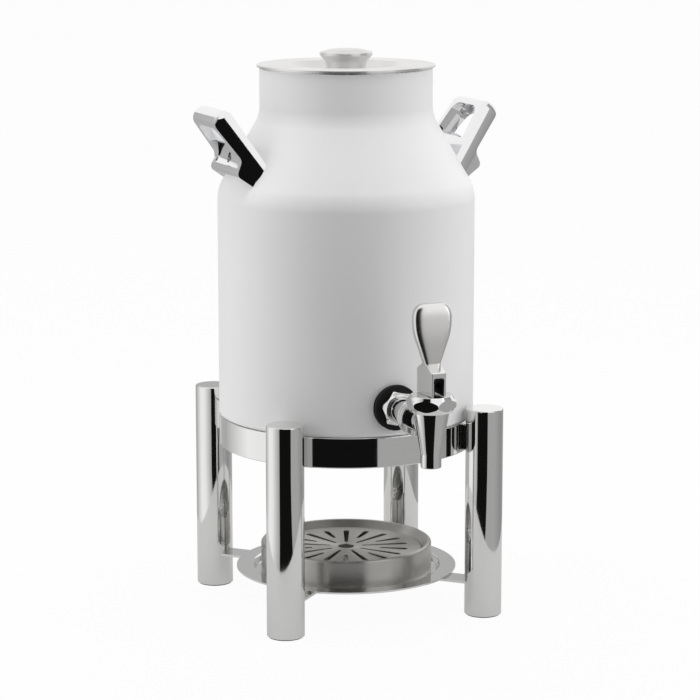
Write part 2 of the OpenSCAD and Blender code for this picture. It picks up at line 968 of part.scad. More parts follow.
module tap_coupling_ring() {
    grooves = 2;
    pitch = coupling_l / (grooves + 1);
    groove_w = pitch / 3;
    groove_r = 0.7;
    edge = 0.8;
    color(polished)
        along_shank()
            translate([0, 0, coupling_start])
                difference() {
                    turned(rounded_loop([
                        [0, 0, 0],
                        [coupling_r, 0, edge],
                        [coupling_r, coupling_l, edge],
                        [0, coupling_l, 0]
                    ]));
                    rod(shank_r + fit, -over, coupling_l + over);
                    for (i = [1:grooves])
                        translate([0, 0, i * pitch])
                            turned([
                                [coupling_r - groove_r, 0],
                                [coupling_r + over, -groove_w],
                                [coupling_r + over, groove_w]
                            ]);
                }
}

module tap_barrel() {
    rim = 0.8;
    color(polished)
        difference() {
            union() {
                at_barrel()
                    turned(rounded_loop([
                        [0, spout_z, 0],
                        [spout_r, spout_z, rim],
                        [spout_r, cone_foot_z, 3],
                        [barrel_top_r, cone_top_z, 1.5],
                        [barrel_top_r, bonnet_z, 0],
                        [barrel_neck_r, bonnet_z, 0],
                        [barrel_neck_r, bonnet_z + barrel_neck_h, 0],
                        [0, bonnet_z + barrel_neck_h, 0]
                    ]));
                along_shank()
                    rod(shank_r, shank_end, tap_axis);
            }
            at_barrel() {
                rod(chamber_r, seat_z, bonnet_z + barrel_neck_h + over);
                rod(spout_bore_r, spout_z - over, seat_z + over);
            }
            along_shank()
                rod(shank_bore_r, shank_end - over, tap_axis);
        }
}

module tap_bonnet() {
    bonnet_turn = -97.5;
    color(polished)
        at_barrel()
            difference() {
                intersection() {
                    rotate([0, 0, bonnet_turn])
                        hexagon(bonnet_r, bonnet_z, bonnet_top);
                    turned(rounded_loop([
                        [0, bonnet_z, 0],
                        [bonnet_r - bonnet_chamfer, bonnet_z, 1],
                        [bonnet_r + over, bonnet_z + bonnet_chamfer, 4],
                        [bonnet_r + over, bonnet_top - bonnet_chamfer, 4],
                        [bonnet_r - bonnet_chamfer, bonnet_top, 1],
                        [0, bonnet_top, 0]
                    ]));
                }
                rod(barrel_neck_r + fit, bonnet_z - over, bonnet_z + bonnet_bore_h);
                rod(stem_r + clear, bonnet_z, bonnet_top + over);
            }
}

// Rings of a helix along Z, each a circle of the wire in the plane of the axis
module coil(r, wire, low, high, turns) {
    sides = 6;
    steps = 12 * turns;
    rise = high - low - 2 * wire;
    points = [
        for (i = [0:steps], k = [0:sides - 1])
            let (
                turn = 360 * turns * i / steps,
                out = r + wire * cos(360 * k / sides),
                up = low + wire + rise * i / steps + wire * sin(360 * k / sides)
            )
            [out * cos(turn), out * sin(turn), up]
    ];
    walls = [
        for (i = [0:steps - 1], k = [0:sides - 1])
            let (a = i * sides + k, b = i * sides + (k + 1) % sides)
            each [[a, a + sides, b], [b, a + sides, b + sides]]
    ];
    ends = [
        [for (k = [0:sides - 1]) k],
        [for (k = [sides - 1:-1:0]) steps * sides + k]
    ];
    polyhedron(points = points, faces = concat(walls, ends), convexity = 10);
}

module tap_spring() {
    color(satin)
        at_barrel()
            coil(spring_r, spring_wire_r, spring_low, spring_high, spring_turns);
}

module tap_stem() {
    rod_top = pin_z - eye_r;
    color(satin)
        at_barrel()
            difference() {
                union() {
                    rod(stem_r, cup_z, rod_top);
                    rod(collar_r, collar_z, collar_z + collar_t);
                    translate([-eye_w / 2, -stem_r, rod_top - 1])
                        cube([eye_w, 2 * stem_r, eye_r + 1]);
                    translate([0, 0, pin_z])
                        rotate([0, 90, 0])
                            cylinder(r = eye_r, h = eye_w, center = true);
                }
                translate([0, 0, pin_z])
                    rotate([0, 90, 0])
                        cylinder(r = pin_r + fit, h = eye_w + 2 * over, center = true);
            }
}

module tap_seat_cup() {
    chamfer = 1;
    color(silicone_white)
        at_barrel()
            turned([
                [stem_r + fit, cup_z],
                [cup_r - chamfer, cup_z],
                [cup_r, cup_z + chamfer],
                [cup_r, cup_z + cup_h - chamfer],
                [cup_r - chamfer, cup_z + cup_h],
                [stem_r + fit, cup_z + cup_h]
            ]);
}

// Front outline of the lever's paddle
module paddle_front() {
    half_neck = lever_neck_w / 2;
    half = paddle_w / 2;
    polygon(rounded_loop([
        [-half_neck, lever_z + lever_block_h, 0],
        [half_neck, lever_z + lever_block_h, 0],
        [half_neck, lever_neck_z, 8],
        [half - 1.7, lever_top - 27, 40],
        [half + 0.3, lever_top - 14, 12],
        [half - 2.4, lever_top, 8.5],
        [2.4 - half, lever_top, 8.5],
        [-half - 0.3, lever_top - 14, 12],
        [1.7 - half, lever_top - 27, 40],
        [-half_neck, lever_neck_z, 8]
    ], 10));
}

// Side outline of the lever's paddle
module paddle_side() {
    neck = lever_neck_t / 2;
    half = paddle_t / 2;
    polygon(rounded_loop([
        [-neck, lever_z + lever_block_h, 0],
        [neck, lever_z + lever_block_h, 0],
        [neck, lever_neck_z, 5],
        [half, lever_top - 16, 12],
        [half - 2.5, lever_top, 2.5],
        [2.5 - half, lever_top, 2.5],
        [-half, lever_top - 16, 12],
        [-neck, lever_neck_z, 5]
    ], 8));
}

module tap_lever() {
    edge = 1.2;
    block_top = lever_z + lever_block_h;
    color(polished)
        at_barrel()
            difference() {
                union() {
                    rotate([0, 0, 90])
                        upright(lever_w)
                            polygon(rounded_loop([
                                [-lever_depth / 2, lever_z, edge],
                                [lever_depth / 2, lever_z, edge],
                                [lever_depth / 2, block_top, edge],
                                [lever_neck_t / 2, lever_neck_z, 0],
                                [-lever_neck_t / 2, lever_neck_z, 0],
                                [-lever_depth / 2, block_top, edge]
                            ]));
                    intersection() {
                        upright(paddle_t + 10)
                            paddle_front();
                        rotate([0, 0, 90])
                            upright(paddle_w + 10)
                                paddle_side();
                    }
                }
                upright(lever_depth + 2 * over)
                    polygon(rounded_loop([
                        [-lever_slot_w / 2, lever_z - over, 0],
                        [lever_slot_w / 2, lever_z - over, 0],
                        [lever_slot_w / 2, slot_top, 1.5],
                        [-lever_slot_w / 2, slot_top, 1.5]
                    ]));
                translate([0, 0, pin_z])
                    rotate([0, 90, 0])
                        cylinder(r = pin_r + fit, h = lever_w + 2 * over, center = true);
            }
}

module lever_pin() {
    color(satin)
        at_barrel()
            translate([0, 0, pin_z])
                rotate([0, 90, 0])
                    cylinder(r = pin_r, h = lever_w, center = true);
}

module lid_plate() {
    seat_r = knob_waist_r + 2;
    path = rounded([
        [lid_r, lid_top, 0],
        [dish_r, lid_top, 2.5],
        [seat_r + (dish_r - seat_r) * 0.45, dish_z + dish_depth * 0.12, 16],
        [seat_r, dish_z, 6],
        [0, dish_z, 0]
    ], 8);
    color(satin)
        difference() {
            union() {
                turned(sheet(path, lid_t));
                turned([
                    [skirt_r - skirt_wall, skirt_z],
                    [skirt_r, skirt_z],
                    [skirt_r, gasket_z],
                    [skirt_r - groove_depth, gasket_z],
                    [skirt_r - groove_depth, gasket_z + gasket_h],
                    [skirt_r, gasket_z + gasket_h],
                    [skirt_r, lid_z + lid_t / 2],
                    [skirt_r - skirt_wall, lid_z + lid_t / 2]
                ]);
            }
            rod(lid_screw_r + drill, dish_z - lid_t - over, dish_z + over);
        }
}

module lid_knob() {
    flare_r = knob_waist_r + 1;
    top = dish_z + knob_h;
    dome = 2.8;
    color(satin)
        difference() {
            turned(rounded_loop([
                [0, dish_z, 0],
                [knob_waist_r - 1, dish_z, 0.5],
                [knob_waist_r, dish_z + 10, 6],
                [flare_r, top - 10.5, 6],
                [knob_r, top - dome - 2.6, 1],
                [knob_r, top - dome, 1.2],
                [knob_r * 0.55, top - 0.3, 20],
                [0, top, 0]
            ]));
            rod(lid_screw_r + fit, dish_z - over, dish_z + lid_screw_reach + 1);
        }
}

module lid_washer() {
    under = dish_z - lid_t;
    color(silicone_white)
        difference() {
            rod(lid_washer_r, under - lid_washer_t, under);
            rod(lid_screw_r + drill, under - lid_washer_t - over, under + over);
        }
}

module lid_screw() {
    head_z = dish_z - lid_t - lid_washer_t;
    color(satin)
        difference() {
            union() {
                rod(lid_head_r, head_z - lid_head_h, head_z);
                rod(lid_screw_r, head_z - 1, dish_z + lid_screw_reach);
            }
            hexagon(lid_screw_r * 0.8, head_z - lid_head_h - over, head_z - 1);
        }
}

module lid_gasket() {
    bead = 0.7;
    inner = skirt_r - groove_depth + fit;
    color(silicone_white)
        turned(rounded_loop([
            [inner, gasket_z + fit, 0],
            [gasket_r, gasket_z + fit, bead],
            [gasket_r, gasket_z + gasket_h - fit, bead],
            [inner, gasket_z + gasket_h - fit, 0]
        ]));
}

leg(-135);  // leg_front_left
leg(-45);  // leg_front_right
leg(135);  // leg_rear_left
leg(45);  // leg_rear_right
leg_cap(-135);  // leg_cap_front_left
leg_cap(-45);  // leg_cap_front_right
leg_cap(135);  // leg_cap_rear_left
leg_cap(45);  // leg_cap_rear_right
foot_glide(-135);  // foot_glide_front_left
foot_glide(-45);  // foot_glide_front_right
foot_glide(135);  // foot_glide_rear_left
foot_glide(45);  // foot_glide_rear_right
support_ring();
ring_spacers();
ring_screws();
ring_nuts();
tray_arm(-135);  // tray_arm_front_left
tray_arm(-45);  // tray_arm_front_right
tray_arm(135);  // tray_arm_rear_left
tray_arm(45);  // tray_arm_rear_right
tray_holder();
tray_pan();
tray_grate();
outer_shell();
inner_tank();
insulation();
base_plate();
base_screws();
handle(-1);  // handle_left
handle(1);  // handle_right
handle_screws();
handle_nuts();
tap_washer();
tap_inner_washer();
tap_back_nut();
tap_hex_nut();
tap_shank();
tap_coupling_ring();
tap_barrel();
tap_bonnet();
tap_spring();
tap_stem();
tap_seat_cup();
tap_lever();
lever_pin();
lid_plate();
lid_knob();
lid_screw();
lid_washer();
lid_gasket();
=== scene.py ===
"""Looks of a churn-shaped beverage urn with a lever tap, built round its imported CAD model.

Every size is in millimetres until a finished piece is scaled to metres.
"""
import json
from math import ceil, cos, pi, radians, sin, sqrt, tan

import bmesh
import bpy
from mathutils import Matrix, Vector


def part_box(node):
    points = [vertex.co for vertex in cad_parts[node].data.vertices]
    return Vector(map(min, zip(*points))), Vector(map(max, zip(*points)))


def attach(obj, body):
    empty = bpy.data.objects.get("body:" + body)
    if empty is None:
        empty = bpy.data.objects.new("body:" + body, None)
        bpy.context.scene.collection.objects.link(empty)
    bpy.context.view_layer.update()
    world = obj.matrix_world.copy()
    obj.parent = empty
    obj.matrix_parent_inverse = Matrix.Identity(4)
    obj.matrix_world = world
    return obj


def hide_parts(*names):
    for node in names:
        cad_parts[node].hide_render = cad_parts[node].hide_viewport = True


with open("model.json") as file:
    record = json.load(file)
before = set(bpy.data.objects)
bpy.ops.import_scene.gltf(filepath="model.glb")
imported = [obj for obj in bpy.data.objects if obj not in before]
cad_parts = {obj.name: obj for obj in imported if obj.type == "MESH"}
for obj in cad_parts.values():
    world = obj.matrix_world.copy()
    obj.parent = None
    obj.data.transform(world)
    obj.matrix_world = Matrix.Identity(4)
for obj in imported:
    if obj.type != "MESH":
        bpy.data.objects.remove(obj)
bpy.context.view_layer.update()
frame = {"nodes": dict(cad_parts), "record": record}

MM = 0.001
# Points closer than this are joined
MERGE = 0.004
# Turn between two points of a rounded corner
ARC_STEP = radians(7)
# Steps round a turned piece, and round a wide one
ROUND = 128
ROUND_WIDE = 192
# Radius that stands for the axis in a sheet's section
ON_AXIS = 0.01
CORNERS = {"front_left": (-1, -1), "front_right": (1, -1), "rear_left": (-1, 1), "rear_right": (1, 1)}


def size_of(node):
    """Lowest and highest corner of a CAD node, in millimetres."""
    low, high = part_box(node)
    return low / MM, high / MM


# Sizes that the frame gives
LEG_LOW, LEG_HIGH = size_of("leg_front_right")
CAP_LOW, CAP_HIGH = size_of("leg_cap_front_right")
RING_LOW, RING_HIGH = size_of("support_ring")
HOLDER_LOW, HOLDER_HIGH = size_of("tray_holder")
PAN_LOW, PAN_HIGH = size_of("tray_pan")
GRATE_LOW, GRATE_HIGH = size_of("tray_grate")
SHELL_LOW, SHELL_HIGH = size_of("outer_shell")
TANK_LOW, _ = size_of("inner_tank")
BASE_LOW, BASE_HIGH = size_of("base_plate")
LID_LOW, LID_HIGH = size_of("lid_plate")
KNOB_LOW, KNOB_HIGH = size_of("lid_knob")
WASHER_LOW, WASHER_HIGH = size_of("tap_washer")
NUT_LOW, NUT_HIGH = size_of("tap_hex_nut")
COUPLING_LOW, COUPLING_HIGH = size_of("tap_coupling_ring")
BARREL_LOW, BARREL_HIGH = size_of("tap_barrel")
BONNET_LOW, BONNET_HIGH = size_of("tap_bonnet")
LEVER_LOW, LEVER_HIGH = size_of("tap_lever")
PIN_LOW, PIN_HIGH = size_of("lever_pin")

# Places and radii that follow from them
LEG_R = (LEG_HIGH.x - LEG_LOW.x) / 2
LEG_AT = (LEG_HIGH.x + LEG_LOW.x) / 2
BODY_R = SHELL_HIGH.x
TAP_Z = (WASHER_LOW.z + WASHER_HIGH.z) / 2
TAP_Y = (BONNET_LOW.y + BONNET_HIGH.y) / 2
PIN_Z = (PIN_LOW.z + PIN_HIGH.z) / 2

# Form of the churn
WALL_H = 196.6
CONE_SLOPE = radians(30)
NECK_R = 74.1
SHOULDER_Z = SHELL_LOW.z + WALL_H

ALONG_SHANK = Matrix.Translation((0, 0, TAP_Z)) @ Matrix.Rotation(radians(90), 4, "X")
AT_BARREL = Matrix.Translation((0, TAP_Y, 0))


# Mesh tools


def round_corner(bm, vert, radius):
    """Rounds a corner of an outline."""
    arms = [edge.other_vert(vert).co - vert.co for edge in vert.link_edges]
    half = arms[0].angle(arms[1]) / 2
    bmesh.ops.bevel(
        bm, geom=[vert], offset=radius / tan(half), offset_type="OFFSET", affect="VERTICES",
        segments=max(2, ceil((pi - 2 * half) / ARC_STEP)), profile=0.5, material=-1,
    )


def outline(corners, place, closed=True):
    """Outline through the corners (across, up, radius), put in space by place(across, up)."""
    bm = bmesh.new()
    verts = [bm.verts.new(place(across, up)) for across, up, _ in corners]
    for a, b in zip(verts, verts[1:]):
        bm.edges.new((a, b))
    if closed:
        bm.edges.new((verts[-1], verts[0]))
    for vert, (_, _, radius) in zip(verts, corners):
        if radius:
            round_corner(bm, vert, radius)
    return bm


def clean(bm):
    """Joins points that coincide and turns every face outwards."""
    bmesh.ops.remove_doubles(bm, verts=bm.verts, dist=MERGE)
    bmesh.ops.recalc_face_normals(bm, faces=bm.faces)
    return bm


def turned(corners, steps=ROUND, closed=False, place=None):
    """Turns the outline of (radius, height, rounding) corners about Z, then moves it by place."""
    bm = outline(corners, lambda radius, height: (radius, 0, height), closed)
    bmesh.ops.spin(
        bm, geom=bm.verts[:] + bm.edges[:], cent=(0, 0, 0), axis=(0, 0, 1),
        angle=2 * pi, steps=steps, use_merge=True,
    )
    if place:
        bmesh.ops.transform(bm, matrix=place, verts=bm.verts)
    return clean(bm)


def prism(corners, place, depth):
    """Solid between a closed outline and the same outline moved by the vector depth."""
    bm = outline(corners, place)
    face = bmesh.ops.contextual_create(bm, geom=bm.edges)["faces"]
    top = bmesh.ops.extrude_face_region(bm, geom=face)["geom"]
    bmesh.ops.translate(bm, vec=depth, verts=[v for v in top if isinstance(v, bmesh.types.BMVert)])
    return clean(bm)


def hollow(corners, wall):
    """Closed section of a sheet: the corners (radius, height, rounding) and their offset by wall."""
    least_radius = 0.2
    inner = []
    points = [Vector((c[0], c[1])) for c in corners]
    for i, (_, _, radius) in enumerate(corners):
        before = points[i] - points[i - 1] if i else points[1] - points[0]
        after = points[i + 1] - points[i] if i < len(points) - 1 else before
        normals = [Vector((-v.y, v.x)).normalized() for v in (before, after)]
        middle = normals[0] + normals[1]
        turn_left = before.x * after.y - before.y * after.x > 0
        inner_radius = radius - wall if turn_left else radius + wall
        shifted = points[i] + middle * (2 * wall / middle.length_squared)
        inner.append((shifted.x, shifted.y, max(inner_radius, least_radius) if radius else 0))
    return list(corners) + inner[::-1]


def loft(rings, sides=64):
    """Skin over rings, each (matrix, half width, half depth, squareness), closed at both ends."""
    bm = bmesh.new()
    loops = []
    for place, half_width, half_depth, squareness in rings:
        made = bmesh.ops.create_circle(bm, segments=sides, radius=1, cap_ends=False)["verts"]
        for vert in made:
            x, y = vert.co.x, vert.co.y
            reach = (abs(x) ** squareness + abs(y) ** squareness) ** (-1 / squareness)
            vert.co = place @ Vector((half_width * x * reach, half_depth * y * reach, 0))
        loops.append(list(dict.fromkeys(edge for vert in made for edge in vert.link_edges)))
    for low, high in zip(loops, loops[1:]):
        bmesh.ops.bridge_loops(bm, edges=low + high)
    for ends in (loops[0], loops[-1]):
        bmesh.ops.contextual_create(bm, geom=ends)
    return clean(bm)


def six_sided(corners, corner_r, turn, place, closed=False):
    """Turned form whose sides are cut to a hexagon about Z, turned by an angle, then moved by place."""
    edge_r, beyond = 0.6, 1
    levels = [height for _, height, _ in corners]
    low, high = min(levels) - beyond, max(levels) + beyond
    angles = [turn + i * pi / 3 for i in range(6)]
    hexagon = prism(
        [(corner_r * cos(angle), corner_r * sin(angle), edge_r) for angle in angles],
        lambda x, y: Vector((x, y, low)), Vector((0, 0, high - low)),
    )
    bm = turned(corners, steps=ROUND_WIDE, closed=closed)
    bm = soften(carve(bm, hexagon, "INTERSECT"), 0.4, 3, 20)
    bmesh.ops.transform(bm, matrix=place, verts=bm.verts)
    return bm


def carve(bm, tool, operation="DIFFERENCE"):
    """Cuts bm with the closed mesh tool, or keeps what both hold."""
    parts = []
    for source in (bm, tool):
        mesh = bpy.data.meshes.new("part")
        source.to_mesh(mesh)
        source.free()
        part = bpy.data.objects.new("part", mesh)
        bpy.context.scene.collection.objects.link(part)
        parts.append(part)
    cut = parts[0].modifiers.new("cut", "BOOLEAN")
    cut.operation, cut.object, cut.solver = operation, parts[1], "EXACT"
    made = bmesh.new()
    made.from_object(parts[0], bpy.context.evaluated_depsgraph_get())
    for part in parts:
        bpy.data.meshes.remove(part.data)
    return clean(made)


def soften(bm, width, segments, sharper_than, keep=lambda middle: True):
    """Rounds the edges that are sharper than an angle and whose middle passes keep."""
    edges = [
        e for e in bm.edges
        if len(e.link_faces) == 2 and e.calc_face_angle() > radians(sharper_than)
        and keep((e.verts[0].co + e.verts[1].co) / 2)
    ]
    bmesh.ops.bevel(
        bm, geom=edges, offset=width, offset_type="OFFSET", affect="EDGES",
        segments=segments, profile=0.5, material=-1, clamp_overlap=True,
    )
    return clean(bm)


# Finishes


def add(tree, kind, inputs=None, **settings):
    """Adds a shader node; a value for an input is a number, a colour or another node's output."""
    node = tree.nodes.new("ShaderNode" + kind)
    for key, value in settings.items():
        setattr(node, key, value)
    for key, value in (inputs or {}).items():
        if isinstance(value, bpy.types.NodeSocket):
            tree.links.new(value, node.inputs[key])
        else:
            node.inputs[key].default_value = value
    return node


def finish(name, metallic=0.0):
    """New material with its Principled shader: (material, tree, shader)."""
    material = bpy.data.materials.new(name)
    material.use_nodes = True
    tree = material.node_tree
    tree.nodes.clear()
    shader = add(tree, "BsdfPrincipled", {"Metallic": metallic})
    add(tree, "OutputMaterial", {"Surface": shader.outputs[0]})
    return material, tree, shader


def place_of(tree):
    """Object coordinates."""
    return add(tree, "TexCoord").outputs["Object"]


def stretched(tree, scale):
    """Object coordinates scaled by an own factor along each axis."""
    return add(tree, "Mapping", {"Vector": place_of(tree), "Scale": scale}).outputs[0]


def noise(tree, vector, scale, detail=3.0):
    """Noise value whose least feature gets finer with scale and detail."""
    return add(
        tree, "TexNoise", {"Vector": vector, "Scale": scale, "Detail": detail, "Roughness": 0.55},
    ).outputs["Fac"]


def ranged(tree, value, low, high):
    """Maps a noise value onto the range from low to high."""
    return add(
        tree, "MapRange", {"Value": value, "From Min": 0.3, "From Max": 0.7, "To Min": low, "To Max": high},
    ).outputs[0]


def tinted(tree, value, dark, light):
    """Mixes two colours by a noise value."""
    mix = add(tree, "Mix", {6: (*dark, 1), 7: (*light, 1)}, data_type="RGBA")
    tree.links.new(value, mix.inputs[0])
    return mix.outputs[2]


def bumped(tree, shader, height, depth):
    """Bump whose full height is depth millimetres."""
    bump = add(tree, "Bump", {"Height": height, "Strength": 1.0, "Distance": depth * MM})
    tree.links.new(bump.outputs[0], shader.inputs["Normal"])


def rings_round(tree):
    """Coordinates for fine rings about the urn's axis, on flat and upright faces alike."""
    across = 2600.0
    split = add(tree, "SeparateXYZ", {"Vector": place_of(tree)})
    x, y, z = split.outputs
    flat_place = add(tree, "CombineXYZ", {"X": x, "Y": y})
    radius = add(tree, "VectorMath", {0: flat_place.outputs[0]}, operation="LENGTH").outputs["Value"]
    heading = add(tree, "Math", {0: x, 1: radius}, operation="DIVIDE").outputs[0]
    rings = add(tree, "Math", {0: radius, 1: across}, operation="MULTIPLY").outputs[0]
    levels = add(tree, "Math", {0: z, 1: across}, operation="MULTIPLY").outputs[0]
    return add(tree, "CombineXYZ", {"X": rings, "Y": levels, "Z": heading}).outputs[0]


def powder_coat():
    """Matt white coat with a fine grain."""
    material, tree, shader = finish("white_powder_coat")
    tint = noise(tree, place_of(tree), 14)
    tree.links.new(tinted(tree, tint, (0.84, 0.84, 0.84), (0.87, 0.87, 0.87)), shader.inputs["Base Color"])
    grain = noise(tree, place_of(tree), 1500, 2)
    tree.links.new(ranged(tree, grain, 0.42, 0.52), shader.inputs["Roughness"])
    bumped(tree, shader, grain, 0.012)
    return material


def mirror_metal(name, colour, smudge, wave=0.0, base=0.03):
    """Polished metal with faint smudges, and a casting's slow waves where wave is not 0."""
    material, tree, shader = finish(name, 1.0)
    light = tuple(min(1, c + 0.02) for c in colour)
    smudges = noise(tree, place_of(tree), 45, 4)
    tree.links.new(tinted(tree, smudges, colour, light), shader.inputs["Base Color"])
    tree.links.new(ranged(tree, smudges, base, base + smudge), shader.inputs["Roughness"])
    if wave:
        bumped(tree, shader, noise(tree, place_of(tree), 55, 1), wave)
    return material


def turned_metal(name, dark, light, rough=(0.32, 0.37)):
    """Metal brushed in fine rings about the urn's axis."""
    stretch, quarter_turn, depth = 0.9, 0.25, 0.0006
    material, tree, shader = finish(name, 1.0)
    round_axis = add(tree, "Tangent", direction_type="RADIAL", axis="Z")
    tree.links.new(round_axis.outputs[0], shader.inputs["Tangent"])
    shader.inputs["Anisotropic"].default_value = stretch
    shader.inputs["Anisotropic Rotation"].default_value = quarter_turn
    rings = noise(tree, rings_round(tree), 1, 2)
    tree.links.new(tinted(tree, rings, dark, light), shader.inputs["Base Color"])
    tree.links.new(ranged(tree, rings, *rough), shader.inputs["Roughness"])
    bumped(tree, shader, rings, depth)
    return material


def grained_metal(name, dark, light, rough=(0.22, 0.32)):
    """Plain rolled or turned metal with a fine grain."""
    material, tree, shader = finish(name, 1.0)
    grain = noise(tree, stretched(tree, (900, 900, 300)), 1, 3)
    tree.links.new(tinted(tree, grain, dark, light), shader.inputs["Base Color"])
    tree.links.new(ranged(tree, grain, *rough), shader.inputs["Roughness"])
    bumped(tree, shader, grain, 0.0008)
    return material


def moulded(name, dark, light, rough, scale=700, depth=0.01, shine=0.5):
    """Matt rubber, plastic, silicone or foam with a fine surface."""
    material, tree, shader = finish(name)
    shader.inputs["Specular IOR Level"].default_value = shine
    grain = noise(tree, place_of(tree), scale, 3)
    tree.links.new(tinted(tree, grain, dark, light), shader.inputs["Base Color"])
    tree.links.new(ranged(tree, grain, *rough), shader.inputs["Roughness"])
    bumped(tree, shader, grain, depth)
    return material


FINISHES = {
    "white_powder_coat": powder_coat(),
    "polished_steel": mirror_metal("polished_steel", (0.80, 0.80, 0.79), 0.04),
    "cast_chrome": mirror_metal("cast_chrome", (0.84, 0.84, 0.85), 0.05, 0.03),
    "tap_chrome": mirror_metal("tap_chrome", (0.80, 0.80, 0.79), 0.06, 0.015),
    "satin_steel": turned_metal("satin_steel", (0.74, 0.73, 0.72), (0.78, 0.77, 0.76)),
    "brushed_steel": turned_metal("brushed_steel", (0.49, 0.48, 0.46), (0.53, 0.52, 0.50)),
    "brushed_grate": turned_metal("brushed_grate", (0.50, 0.49, 0.46), (0.56, 0.55, 0.52), (0.34, 0.40)),
    "tank_steel": grained_metal("tank_steel", (0.62, 0.62, 0.61), (0.70, 0.70, 0.69)),
    "plain_steel": grained_metal("plain_steel", (0.58, 0.58, 0.56), (0.68, 0.68, 0.66), (0.18, 0.3)),
    "black_rubber": moulded(
        "black_rubber", (0.010, 0.010, 0.010), (0.018, 0.018, 0.018), (0.6, 0.75), shine=0.15,
    ),
    "black_plastic": moulded("black_plastic", (0.02, 0.02, 0.02), (0.03, 0.03, 0.03), (0.4, 0.5)),
    "white_silicone": moulded("white_silicone", (0.76, 0.76, 0.73), (0.84, 0.84, 0.81), (0.35, 0.45)),
    "foam": moulded("foam", (0.80, 0.72, 0.48), (0.88, 0.82, 0.62), (0.8, 0.95), 300, 0.2),
}

# Finishes of a part of the lever only: a near-black painted shade for the inside of the lever's slot, and the
# satin paddle
SLOT_PAINTED_SHADE = moulded("slot_painted_shade", (0.015, 0.015, 0.015), (0.025, 0.025, 0.024), (0.5, 0.6), shine=0.3)
SATIN_PADDLE = mirror_metal("satin_paddle", (0.80, 0.79, 0.78), 0.05, 0.0, 0.22)

for part in frame["record"]["subparts"]:
    for material_slot in frame["nodes"][part["node"]].material_slots:
        material_slot.material = FINISHES[part["material_slot"]]


def make_piece(bm, name, body, slot, nodes, sharp=30):
    """Turns a finished mesh into a piece in metres that stands for CAD nodes of one body."""
    bmesh.ops.scale(bm, vec=(MM, MM, MM), verts=bm.verts)
    mesh = bpy.data.meshes.new(name)
    bm.to_mesh(mesh)
    bm.free()
    mesh.shade_smooth()
    mesh.set_sharp_from_angle(angle=radians(sharp))
    mesh.materials.append(FINISHES[slot])
    piece = bpy.data.objects.new(name, mesh)
    bpy.context.scene.collection.objects.link(piece)
    even = piece.modifiers.new("even_normals", "WEIGHTED_NORMAL")
    even.keep_sharp = True
    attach(piece, body)
    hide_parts(*nodes)
    return piece


# Stand


LEG_WALL = 2


def at_leg(corner):
    """Place of a leg's axis."""
    side, front = CORNERS[corner]
    return Matrix.Translation((side * LEG_AT, front * LEG_AT, 0))


def leg_tube(corner):
    """Open tube that stands on its foot glide."""
    bore = LEG_R - LEG_WALL
    bm = turned(
        [(bore, LEG_LOW.z, 0.2), (LEG_R, LEG_LOW.z, 0.3), (LEG_R, LEG_HIGH.z, 0), (bore, LEG_HIGH.z, 0)],
        closed=True, place=at_leg(corner),
    )
    make_piece(bm, "leg_tube_" + corner, "stand", "polished_steel", ["leg_" + corner])


def leg_top(corner):
    """Cap with a rounded edge, seated on the tube by its spigot."""
    edge, play = 1.2, 0.05
    spigot = LEG_R - LEG_WALL - play
    seat = LEG_HIGH.z
    bm = turned(
        [
            (0, CAP_HIGH.z, 0), (LEG_R, CAP_HIGH.z, edge), (LEG_R, seat, 0), (spigot, seat, 0),
            (spigot, CAP_LOW.z, 0.4), (0, CAP_LOW.z, 0),
        ],
        place=at_leg(corner),
    )
    make_piece(bm, "leg_top_" + corner, "stand", "polished_steel", ["leg_cap_" + corner])


def carrying_ring():
    """Flat ring that the churn sits on."""
    wall, edge = 6, 1
    inner = RING_HIGH.x - wall
    bm = turned(
        [
            (inner, RING_LOW.z, edge), (RING_HIGH.x, RING_LOW.z, edge),
            (RING_HIGH.x, RING_HIGH.z, edge), (inner, RING_HIGH.z, edge),
        ],
        steps=ROUND_WIDE, closed=True,
    )
    make_piece(bm, "carrying_ring", "stand", "polished_steel", ["support_ring"])


def ring_pads():
    """Pads between the ring and the legs, one at each screw."""
    half_w, half_h, edge = 3.5, 11.5, 1
    in_ring, in_leg = 0.4, 0.6
    start = RING_HIGH.x - in_ring
    end = LEG_AT * sqrt(2) - LEG_R + in_leg
    middle = (RING_LOW.z + RING_HIGH.z) / 2
    rectangle = [(x * half_w, z * half_h, edge) for x, z in ((-1, -1), (1, -1), (1, 1), (-1, 1))]
    for corner, (side, front) in CORNERS.items():
        out = Vector((side, front, 0)).normalized()
        across = Vector((-out.y, out.x, 0))
        bm = prism(
            rectangle,
            lambda x, z: out * start + across * x + Vector((0, 0, middle + z)), out * (end - start),
        )
        make_piece(bm, "ring_pad_" + corner, "stand", "polished_steel", ["ring_spacers"])


def dish_holder():
    """Round sheet with a pressed recess for the drip tray."""
    sheet, recess, slope, bend = 1.5, 80, 3, 1.5
    floor, rim = HOLDER_LOW.z, HOLDER_HIGH.z - sheet
    section = hollow(
        [(ON_AXIS, floor, 0), (recess, floor, bend), (recess + slope, rim, bend), (HOLDER_HIGH.x, rim, 0)],
        sheet,
    )
    bm = turned(section, steps=ROUND_WIDE, closed=True)
    make_piece(bm, "dish_holder", "stand", "polished_steel", ["tray_holder"])


# Drip tray


